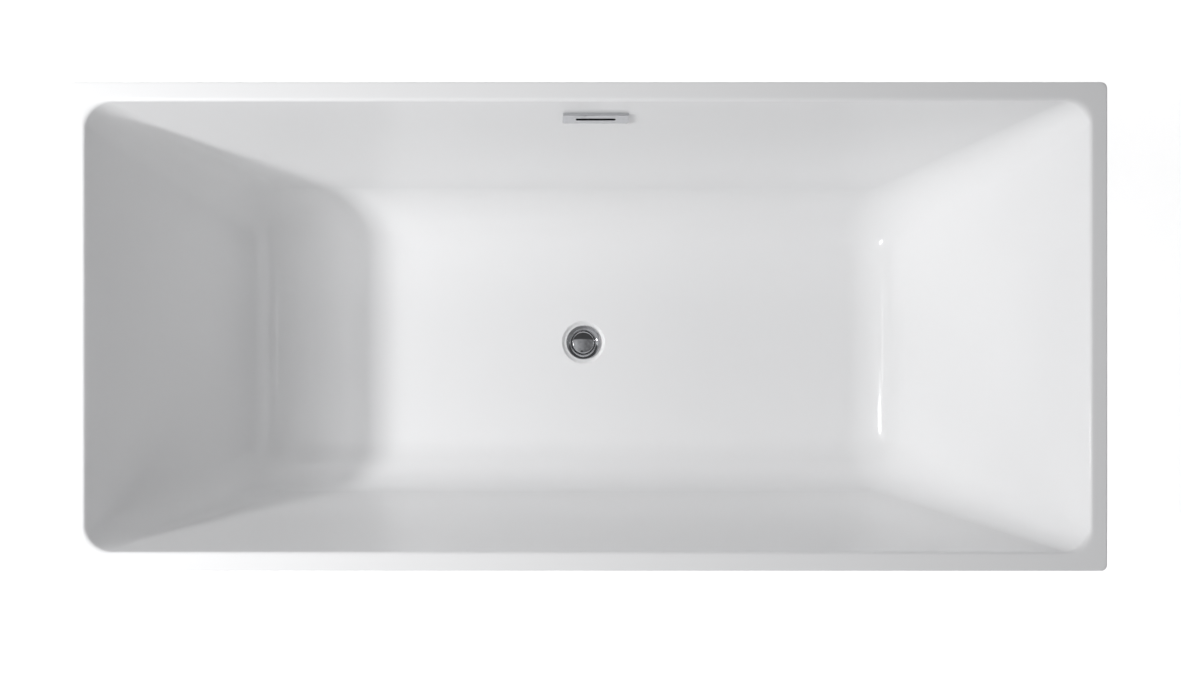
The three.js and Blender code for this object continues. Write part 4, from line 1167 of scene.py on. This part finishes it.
def pipe(path, outer, inner, sides=48):
    """Circles square to the path, out along the outer radius and back along the inner one.

    A point is path + r (cos(angle) side + sin(angle) cross), where side is the x axis made square
    to the tangent and cross is the tangent's cross product with it.
    """
    tangent = np.gradient(path, axis=0)
    tangent /= np.linalg.norm(tangent, axis=1)[:, None]
    side = np.array([1.0, 0, 0]) - tangent * tangent[:, :1]
    side /= np.linalg.norm(side, axis=1)[:, None]
    cross = np.cross(tangent, side)
    angle = np.linspace(0, 2 * np.pi, sides, endpoint=False)[None, :, None]
    circle = side[:, None] * np.cos(angle) + cross[:, None] * np.sin(angle)
    outer = np.broadcast_to(outer, len(path))[:, None, None]
    inner = np.broadcast_to(inner, len(path))[:, None, None]
    return np.concatenate([path[:, None] + outer * circle, (path[:, None] + inner * circle)[::-1]])


def barbs(distance, radius, depth, pitch, count):
    """Radius along a spigot: each barb rises slowly for one pitch and drops at once."""
    share = distance / pitch
    rise = np.where(share < count, share % 1.0, 1.0)
    return radius - depth * (1 - rise)


print("a pipe of two rings is a grid of", pipe(np.eye(3)[:2], 1.0, 0.5).shape[:2])


# %% Waste body
BODY = 27 * MM
BODY_NECK = 24 * MM
BODY_FLANGE = 4 * MM
BODY_BORE = 19 * MM
SPIGOT = 7.6 * MM
SPIGOT_BORE = 5.6 * MM
PORT_REACH = 60 * MM
body_low, body_high = low("waste_body")[2], high("waste_body")[2]
port_height = middle("hose_clamp_bottom")[2]
NECK_TOP = body_low + 13 * MM
GASKET = 38 * MM


def ribbed(line, ribs, depth, between_heights, outer, sides=144):
    """A turned line whose widest part, between two heights, carries ribs: radius - depth * ripple."""
    angle = np.arange(sides) / sides * 2 * np.pi
    first, last = between_heights
    on_side = (line[:, 0] > outer - 0.2 * MM) & (line[:, 1] > first) & (line[:, 1] < last)
    hollow = depth * np.clip(0.5 - 1.4 * np.cos(ribs * angle), 0, 1)
    radius = line[:, 0, None] - np.where(on_side[:, None], hollow[None], 0)
    return turned_freely(radius, line[:, 1, None] + 0 * angle)


body_line = soften([
    [BODY_NECK, body_low], [BODY_NECK, NECK_TOP], [BODY, NECK_TOP], [BODY, body_high - 26 * MM],
    [BODY, body_high - 24 * MM], [BODY, body_high - 9 * MM], [BODY, body_high - 7 * MM],
    [BODY, body_high - BODY_FLANGE], [GASKET, body_high - BODY_FLANGE], [GASKET, body_high],
    [TAIL + 0.6 * MM, body_high], [TAIL + 0.6 * MM, body_low + 36 * MM], [BODY_BORE, body_low + 35 * MM],
    [BODY_BORE, body_low],
], 0.7 * MM, 3, loop=True)
port_path = np.linspace([0, BODY - 3 * MM, port_height], [0, PORT_REACH, port_height], 60)
port_radius = barbs(PORT_REACH - port_path[:, 1], SPIGOT, 0.8 * MM, 4 * MM, 4)
waste_body = build("waste_body_moulded", [
    (ribbed(body_line, 16, 0.9 * MM, (body_high - 24.5 * MM, body_high - 8 * MM), BODY) + DRAIN, True),
    (pipe(port_path, port_radius, SPIGOT_BORE) + DRAIN, True),
])
hand_over(waste_body, [white_plastic], "tub", "white_plastic", "waste_body")

# %% Union nut
nut_low, nut_high = low("union_nut")[2], high("union_nut")[2]
NUT_OUTER = high("union_nut")[1]
nut_line = soften([
    [NUT_OUTER, nut_low], [NUT_OUTER, nut_low + 2 * MM], [NUT_OUTER, nut_low + 3 * MM],
    [NUT_OUTER, nut_high - 3 * MM], [NUT_OUTER, nut_high - 2 * MM], [NUT_OUTER, nut_high],
    [BODY_NECK + 0.4 * MM, nut_high], [BODY_NECK + 0.4 * MM, nut_low + 4.5 * MM],
    [20.4 * MM, nut_low + 4.5 * MM], [20.4 * MM, nut_low],
], 0.8 * MM, 3, loop=True)
union_nut = build("union_nut_ribbed", [
    (ribbed(nut_line, 18, 1.6 * MM, (nut_low + 2.5 * MM, nut_high - 2.5 * MM), NUT_OUTER) + DRAIN, True)])
hand_over(union_nut, [white_plastic], "tub", "white_plastic", "union_nut")

# %% Elbow
PIPE = 20 * MM
PIPE_WALL = 2.5 * MM
BEND = 24 * MM
elbow_top = high("waste_elbow")[2]
outlet_height = low("waste_elbow")[2] + PIPE
outlet_end = high("waste_elbow")[1]
elbow_corner = np.array([0, 0, outlet_height])
elbow_path, elbow_distance = evenly(np.vstack([
    [[0, 0, elbow_top]],
    arc(elbow_corner, np.array([0, 0, 1.0]), np.array([0, 1.0, 0]), BEND, 40),
    [[0, outlet_end, outlet_height]],
]), 120)
to_end = elbow_distance[-1] - elbow_distance
elbow_radius = PIPE - 0.8 * MM * np.clip((to_end - 18 * MM) / (2 * MM), 0, 1)
elbow_radius = elbow_radius - 0.6 * MM * np.clip(1 - to_end / (1 * MM), 0, 1)
collar_low = elbow_top - 5.7 * MM
collar = soften([
    [BODY_NECK, collar_low], [BODY_NECK, elbow_top],
    [PIPE - 1 * MM, elbow_top], [PIPE - 1 * MM, collar_low],
], 0.6 * MM, 3, loop=True)
waste_elbow = build("waste_elbow_moulded", [
    (pipe(elbow_path, elbow_radius, PIPE - PIPE_WALL) + DRAIN, True),
    (turned(collar, 96) + DRAIN, True),
])
hand_over(waste_elbow, [white_plastic], "tub", "white_plastic", "waste_elbow")

# %% [markdown]
# ## The overflow
# High on the back wall a chrome cover stands over a hole, and its slot lets the water in. Behind the
# wall a black housing catches it, sealed by a gasket, and a corrugated hose leads it down and forward
# to the waste. The cover is one loop again: round its outside, over its face, through the slot and
# back along the inside of the sheet, so its edge and its slot both show the thickness. From the
# slot's own edge inwards the sheet is black plastic, as painted shade that darkens the slot. The
# gasket has a black collar that lines the hole in the wall, with a lip in front of it: this collar
# is painted shade too, a dark liner that stands for the shade behind the slot, so the slot reads as
# a black line.

# %% Cover
COVER = (111 * MM / 2, 30 * MM / 2)
COVER_DEPTH = 4.8 * MM
COVER_WALL = 1.2 * MM
COVER_CORNER = 3 * MM
SLOT = (67 * MM / 2, 7 * MM / 2, 2.8 * MM)
SLOT_COLUMNS = columns_round(24, 8, corner=8)


def cover_grid():
    """Back edge, side, face, slot, the face's inside and the side's inside, in one loop."""
    face = -GAP - COVER_DEPTH
    wide, tall = COVER
    bore = [wide - COVER_WALL, tall - COVER_WALL, COVER_CORNER - COVER_WALL]
    return on_wall(outline(soften([
        [wide, tall, COVER_CORNER, -GAP], [wide, tall, COVER_CORNER, face], [*SLOT, face],
        [*SLOT, face + COVER_WALL], [*bore, face + COVER_WALL], [*bore, -GAP],
    ], [0.2 * MM, 1.1 * MM, 0.4 * MM, 0.2 * MM, 0.4 * MM, 0.2 * MM], 5, loop=True), SLOT_COLUMNS))


cover = cover_grid()
# From this row on, round the slot and along the inside of the sheet, the cover gets black plastic: painted
# shade that makes the slot read dark.
shade_from_row = cover.shape[0] // 2 - 1
overflow_cover = build("overflow_cover_pressed", [(cover, True)], shade_from_row)
hand_over(overflow_cover, [chrome, black_plastic], "tub", "chrome", "overflow_cover")

# %% Gasket and housing
GASKET_FRONT = SHELL + GAP
GASKET_BACK = GASKET_FRONT + 2 * MM
HOUSING_FRONT = GASKET_BACK + GAP
HOUSING = (106 * MM / 2, 38 * MM / 2, 6 * MM)
HOUSING_WALL = 2.5 * MM
gasket_rows = soften([
    [52 * MM, 15 * MM, 5 * MM, GASKET_FRONT], [52 * MM, 15 * MM, 5 * MM, GASKET_BACK],
    [*WALL_HOLE, GASKET_BACK], [*WALL_HOLE, GASKET_FRONT],
], 0.4 * MM, 3, loop=True)
HOLE_WIDE, HOLE_TALL, HOLE_CORNER = WALL_HOLE
COLLAR_IN = 0.4 * MM
BORE_IN = 1.2 * MM
COLLAR = [HOLE_WIDE - COLLAR_IN, HOLE_TALL - COLLAR_IN, HOLE_CORNER - COLLAR_IN]
COLLAR_BORE = [HOLE_WIDE - BORE_IN, HOLE_TALL - BORE_IN, HOLE_CORNER - BORE_IN]
COLLAR_LIP = [42.5 * MM, 13 * MM, 6 * MM]
LIP_FRONT = -1.4 * MM
LIP_BACK = -0.4 * MM
# The collar and its lip are painted shade: a black liner in the wall's hole that stands for the shade
# behind the slot.
shade_collar_rows = soften([
    [*COLLAR_LIP, LIP_FRONT], [*COLLAR_LIP, LIP_BACK], [*COLLAR, LIP_BACK], [*COLLAR, SHELL],
    [*COLLAR_BORE, SHELL], [*COLLAR_BORE, LIP_FRONT],
], 0.2 * MM, 2, loop=True)
overflow_gasket = build("overflow_gasket_cut", [
    (on_wall(outline(gasket_rows, SLOT_COLUMNS)), True),
    (on_wall(outline(shade_collar_rows, SLOT_COLUMNS)), True),
])
hand_over(overflow_gasket, [rubber], "tub", "rubber", "overflow_gasket")

# The housing's highest point at the back is where its depth and its height meet on the slope.
housing_back = high("overflow_housing")[1] - OVERFLOW[1] - HOUSING[1] * math.sin(SIDE_SLOPE)
housing_back /= math.cos(SIDE_SLOPE)
cavity = [WALL_HOLE[0] + 1 * MM, HOUSING[1] - HOUSING_WALL, 3.5 * MM]
rib = [HOUSING[0] - 2 * MM, HOUSING[1] - 2 * MM, 4 * MM]
housing_rows = soften([
    [0, 0, 0, housing_back - 1 * MM], [rib[0] - 6 * MM, rib[1] - 6 * MM, 3 * MM, housing_back - 1 * MM],
    [rib[0] - 5 * MM, rib[1] - 5 * MM, 4 * MM, housing_back], [*HOUSING, housing_back],
    [*HOUSING, HOUSING_FRONT + 3 * MM], [*HOUSING, HOUSING_FRONT], [*cavity, HOUSING_FRONT],
    [*cavity, housing_back - HOUSING_WALL - 1 * MM], [0, 0, 0, housing_back - HOUSING_WALL - 1 * MM],
], [0.5 * MM, 0.5 * MM, 2 * MM, 0.5 * MM, 0.5 * MM, 0.5 * MM, 2 * MM], 4)
hose_top = middle("hose_clamp_top")
spigot_low = hose_top[2] - 9 * MM
spigot_path = np.linspace([*hose_top[:2], spigot_low], [*hose_top[:2], spigot_low + 44 * MM], 70)
spigot_radius = barbs(spigot_path[:, 2] - spigot_low, SPIGOT, 0.8 * MM, 4 * MM, 4)
overflow_housing = build("overflow_housing_moulded", [
    (on_wall(outline(housing_rows, SLOT_COLUMNS)), False),
    (pipe(spigot_path, spigot_radius, SPIGOT_BORE), True),
])
hand_over(overflow_housing, [black_plastic], "tub", "black_plastic", "overflow_housing")

# %% Screws of the overflow
HEAD = 3.6 * MM
HEAD_RISE = 2.4 * MM
SHANK = 2 * MM
SHANK_END = 20 * MM
for side, name in ((-1, "left"), (1, "right")):
    node = f"overflow_screw_{name}"
    head_line = soften([
        [0, -GAP - HEAD_RISE], [HEAD * 0.6, -GAP - HEAD_RISE], [HEAD, -GAP - HEAD_RISE / 2], [HEAD, -GAP],
        [0, -GAP],
    ], 0.5 * MM, 3)
    shift = np.array([side * SCREW_PLACE, 0, 0])
    screw = build(node + "_threaded", [
        (on_wall(turned(head_line, 48) + shift), False),
        (on_wall(thread(SHANK, 0.35 * MM, 1 * MM, -GAP - 1 * MM, SHANK_END, 16) + shift), False),
    ])
    hand_over(screw, [zinc], "tub", "zinc_steel", node)

# %% [markdown]
# ## The hose and its clamps
# The hose hangs straight from the housing, bends forward under the tub in one wide curve and ends on
# the waste body's port. Its wall is a wave: about every four millimetres it swells and pinches, which
# is what lets it bend. The two ends are plain cuffs, held by clamps whose band is notched for
# a worm screw.

# %% Hose
HOSE = 10 * MM
HOSE_WALL = 1.8 * MM
HOSE_OVERLAP = 18 * MM
HOSE_STRAIGHT = 45 * MM
HOSE_KNEE = 90 * MM
KNEE_FORWARD = 24.4 * MM  # the bend's corner stands this far in front of the top end
CORRUGATION = 4.2 * MM
CORRUGATION_DEPTH = 0.9 * MM
CUFF = 24 * MM
hose_start = hose_top + [0, 0, HOSE_OVERLAP / 2]
hose_end = middle("hose_clamp_bottom") - [0, HOSE_OVERLAP / 2, 0]


def hose_route():
    """Straight down, one arc in the corner under the tub, and straight forward to the waste."""
    below = hose_start - [0, 0, HOSE_STRAIGHT]
    before = hose_end + [0, HOSE_STRAIGHT, 0]
    knee = np.array([(hose_start[0] + hose_end[0]) / 2, hose_start[1] - KNEE_FORWARD, hose_end[2]])
    up = (below - knee) / np.linalg.norm(below - knee)
    forward = (before - knee) / np.linalg.norm(before - knee)
    curve = arc(knee, up, forward, HOSE_KNEE, 60)
    return evenly(np.vstack([[hose_start], [below], curve, [before], [hose_end]]), 1100)


hose_path, hose_distance = hose_route()
hose_length = hose_distance[-1]
from_ends = np.minimum(hose_distance, hose_length - hose_distance)
waves = np.clip((from_ends - CUFF) / (4 * MM), 0, 1)
pinch = 0.5 - 0.5 * np.cos(2 * np.pi * hose_distance / CORRUGATION)
hose_radius = HOSE - CORRUGATION_DEPTH * waves * pinch
overflow_hose = build("overflow_hose_corrugated", [
    (pipe(hose_path, hose_radius, HOSE - HOSE_WALL, 24), True)])
hand_over(overflow_hose, [grey_plastic], "tub", "grey_plastic", "overflow_hose")
print(f"the hose is {hose_length:.3f} m long")

# %% Hose clamps
BAND_IN = 10.3 * MM
BAND_OUT = 11.7 * MM
BAND_HALF = 4.5 * MM
NOTCHES = 40


def clamp_grids():
    """An upright clamp: a notched band, the block that holds its worm screw, and the screw's head."""
    band = soften([
        [BAND_OUT, -BAND_HALF], [BAND_OUT, -2.6 * MM], [BAND_OUT, 2.6 * MM], [BAND_OUT, BAND_HALF],
        [BAND_IN, BAND_HALF], [BAND_IN, -BAND_HALF],
    ], 0.3 * MM, 2, loop=True)
    angle = np.arange(160) / 160 * 2 * np.pi
    notched = (band[:, 0] > BAND_OUT - 0.1 * MM) & (np.abs(band[:, 1]) < 2.7 * MM)
    notch = 0.35 * MM * np.clip(1.5 * np.cos(NOTCHES * angle), 0, 1)
    radius = band[:, 0, None] - np.where(notched[:, None], notch[None], 0)
    ring = turned_freely(radius, band[:, 1, None] + 0 * angle)
    block = bar(3.2 * MM, 5.5 * MM, 1.2 * MM, -BAND_HALF, BAND_HALF) + [BAND_OUT + 1.6 * MM, 0, 0]
    head = hexagon(3.2 * MM, 0, 5 * MM, 8.5 * MM)
    head = np.stack([head[..., 0] + BAND_OUT + 1.8 * MM, head[..., 2], head[..., 1]], -1)
    return [(ring, True), (block, False), (head, False)]


def lying(points):
    """Turns upright points so that their axis lies along y."""
    return np.stack([points[..., 0], points[..., 2], -points[..., 1]], -1)


top_clamp = build("hose_clamp_top_worm", [(grid + hose_top, loop) for grid, loop in clamp_grids()])
hand_over(top_clamp, [zinc], "tub", "zinc_steel", "hose_clamp_top")
bottom_place = middle("hose_clamp_bottom")
bottom_clamp = build("hose_clamp_bottom_worm", [
    (lying(grid) + bottom_place, loop) for grid, loop in clamp_grids()])
hand_over(bottom_clamp, [zinc], "tub", "zinc_steel", "hose_clamp_bottom")

# %% [markdown]
# ## Studio
# The tub stands on a plain pale floor. White on white only reads if the light has a direction: a
# small lamp from the left draws the edge of the rim's shadow across the basin, a second one near
# the left end makes the rim fade from left to right, and large soft boxes and a pale surround fill
# the rest. Two thin strips light nothing and only leave a long glint in the bends of the basin. The
# floor glows a little, as a lit studio sweep does, and the surround is pale near the horizon, a
# little darker than the floor. The floor lies half a millimetre under the feet, so that two faces
# never share a plane.

# %% Floor
FLOOR_SIZE = 60.0
FLOOR_DROP = 0.5 * MM


def sheet(name, size, height, material):
    """A square sheet at a height."""
    half = size / 2
    mesh = bpy.data.meshes.new(name)
    corners = [(-half, -half, height), (half, -half, height), (half, half, height), (-half, half, height)]
    mesh.from_pydata(corners, [], [(0, 1, 2, 3)])
    made = bpy.data.objects.new(name, mesh)
    made.data.materials.append(material)
    bpy.context.scene.collection.objects.link(made)
    return made


def make_floor_finish():
    """A pale sweep: matt white with faint clouds, lifted by a little light of its own."""
    finish = Finish("pale_sweep", emission_strength=0.72)
    clouds = finish.noise(0.7)
    finish.vary(finish.mix(clouds, (0.90, 0.90, 0.90), (0.93, 0.93, 0.93)), 0.75 + 0.1 * clouds)
    finish.shader.inputs["Emission Color"].default_value = (1, 1, 1, 1)
    return finish.material


sheet("studio_floor", FLOOR_SIZE, -FLOOR_DROP, make_floor_finish())
print("floor at", -FLOOR_DROP)

# %% [markdown]
# Chrome shows nothing of its own, only what stands round it. Here that is a dim room overhead: dark
# towards the back and in one round spot, grey above the tub and lighter towards the left. It is
# painted on a large card that only mirrors see, so it neither lights the tub nor shades it.

# %% Card that chrome mirrors
CARD_SIZE = 16.0
CARD_HEIGHT = 3.4
CARD_DARK = 0.03  # the strip at the back
CARD_GREY = 0.10  # the rest has this much more
CARD_LEFT = 0.26  # and up to this much more on the left
CARD_PATCH = 0.09
LEFT_FADE = (0.45, 0.0), (0.65, 1.0)
STRIP_FADE = (0.405, 0.0), (0.425, 1.0)
PATCH_FADE = (0.38, 0.0), (0.60, 1.0)
DARK_SPOT = (-0.2, -1.8, CARD_HEIGHT)
SPOT_FADE = (0.26, 0.0), (0.32, 1.0)


def make_card_finish():
    """Grey that grows from right to left, in soft patches, with a dark strip and a dark round spot.

    The level is dark + strip * spot * (grey + left's share + patches), each a ramp from 0 to 1.
    """
    finish = Finish("dim_room", emission_strength=1.0)
    across = finish.node("ShaderNodeSeparateXYZ", {}, {0: finish.place}, output=0)
    along = finish.node("ShaderNodeSeparateXYZ", {}, {0: finish.place}, output=1)
    left = finish.ramp(0.5 - 0.1 * across, *LEFT_FADE)
    near = finish.ramp(0.5 - 0.1 * along, *STRIP_FADE)
    patches = finish.ramp(finish.noise(1.1, 2.0), *PATCH_FADE)
    inputs = {0: finish.place, 1: DARK_SPOT}
    from_spot = finish.node("ShaderNodeVectorMath", {"operation": "DISTANCE"}, inputs, output=1)
    clear = finish.ramp(from_spot, *SPOT_FADE)
    level = CARD_DARK + near * clear * (CARD_GREY + CARD_LEFT * left + CARD_PATCH * patches)
    finish.vary((0.02, 0.02, 0.02, 1), 0.9)
    finish.feed(finish.shader.inputs["Emission Color"], finish.mix(level, (0, 0, 0), (0.97, 0.98, 1)))
    return finish.material


card = sheet("mirror_card", CARD_SIZE, CARD_HEIGHT, make_card_finish())
card.visible_camera = False
card.visible_diffuse = False
card.visible_shadow = False
card.visible_transmission = False
print("card at", CARD_HEIGHT, "m")


# %% Lamps
def lamp(name, place, aim, width, height, watts, mirrored=False, lights=True):
    """A flat lamp turned to face a point, that shiny things show or not, and that lights or not."""
    light = bpy.data.lights.new(name, "AREA")
    light.shape = "RECTANGLE"
    light.size = width
    light.size_y = height
    light.energy = watts
    holder = bpy.data.objects.new(name, light)
    holder.location = place
    holder.rotation_euler = (Vector(aim) - Vector(place)).to_track_quat("-Z", "Y").to_euler()
    holder.visible_camera = False
    holder.visible_glossy = mirrored
    holder.visible_diffuse = lights
    bpy.context.scene.collection.objects.link(holder)
    return holder


TUB_MIDDLE = (0, 0, 0.35)
LEFT_RIM = (-0.4, 0, 0.4)
lamp("key", (-3.0, -0.5, 2.8), TUB_MIDDLE, 0.25, 0.25, 51)
lamp("key_high", (-2.6, -0.3, 3.0), TUB_MIDDLE, 0.3, 0.3, 12, mirrored=True)
lamp("near_left", (-1.84, 0, 1.59), TUB_MIDDLE, 0.16, 0.16, 8)
lamp("box_left", (-2.2, -0.8, 4.0), TUB_MIDDLE, 2.2, 2.2, 5.5)
lamp("box_over_left", (-1.5, 0, 2.6), LEFT_RIM, 0.9, 0.9, 11.5)
lamp("box_over", (0, 0, 4.5), TUB_MIDDLE, 3.0, 3.0, 14.5)
lamp("box_front", (0, -3.5, 2.6), TUB_MIDDLE, 1.5, 1.5, 23.5)
lamp("box_back", (0, 3.5, 2.6), TUB_MIDDLE, 1.5, 1.5, 8.5)
lamp("glint_left", (-3.0, 0.28, 2.8), TUB_MIDDLE, 0.78, 0.06, 1.1, mirrored=True, lights=False)
lamp("glint_right", (3.2, 0.28, 2.6), TUB_MIDDLE, 0.78, 0.05, 0.7, mirrored=True, lights=False)
print("lamps:", len(bpy.data.lights))

# %% Surround
SURROUND = ((0.0, 0.6), (0.06, 0.6), (0.16, 0.04), (1.0, 0.15))
world = bpy.data.worlds.new("studio_surround")
bpy.context.scene.world = world
world.use_nodes = True
surround = world.node_tree
background = surround.nodes["Background"]
direction = surround.nodes.new("ShaderNodeTexCoord")
split = surround.nodes.new("ShaderNodeSeparateXYZ")
shade = surround.nodes.new("ShaderNodeValToRGB")
while len(shade.color_ramp.elements) < len(SURROUND):
    shade.color_ramp.elements.new(1.0)
for stop, (rise, grey) in zip(shade.color_ramp.elements, SURROUND):
    stop.position = rise
    stop.color = (grey, grey, 1.04 * grey, 1)
surround.links.new(direction.outputs["Generated"], split.inputs[0])
surround.links.new(split.outputs["Z"], shade.inputs[0])
surround.links.new(shade.outputs[0], background.inputs["Color"])
background.inputs["Strength"].default_value = 1.0
print("surround: pale at the horizon, dim above it, a little lighter overhead")

# %% [markdown]
# ## Camera
# The tub is seen from straight above, a little to the left of its middle and in front of it. A lens
# of 32 mm is wide enough to look down all four walls. The shift only slides the frame, so that the
# tub sits in the middle of it. The tones stay as they are rendered, with no film curve over them.

# %% Camera
LENS = 32.1
EYE = (-0.066, -0.130, 2.30)
camera_data = bpy.data.cameras.new("overhead")
camera_data.lens = LENS
camera_data.sensor_width = 36.0
camera_data.shift_x = 0.0368
camera_data.shift_y = 0.0538
camera_data.dof.use_dof = False
camera = bpy.data.objects.new("overhead", camera_data)
camera.location = EYE
bpy.context.scene.collection.objects.link(camera)
bpy.context.scene.camera = camera
bpy.context.scene.view_settings.view_transform = "Standard"
print("a lens of", LENS, "mm at", EYE)
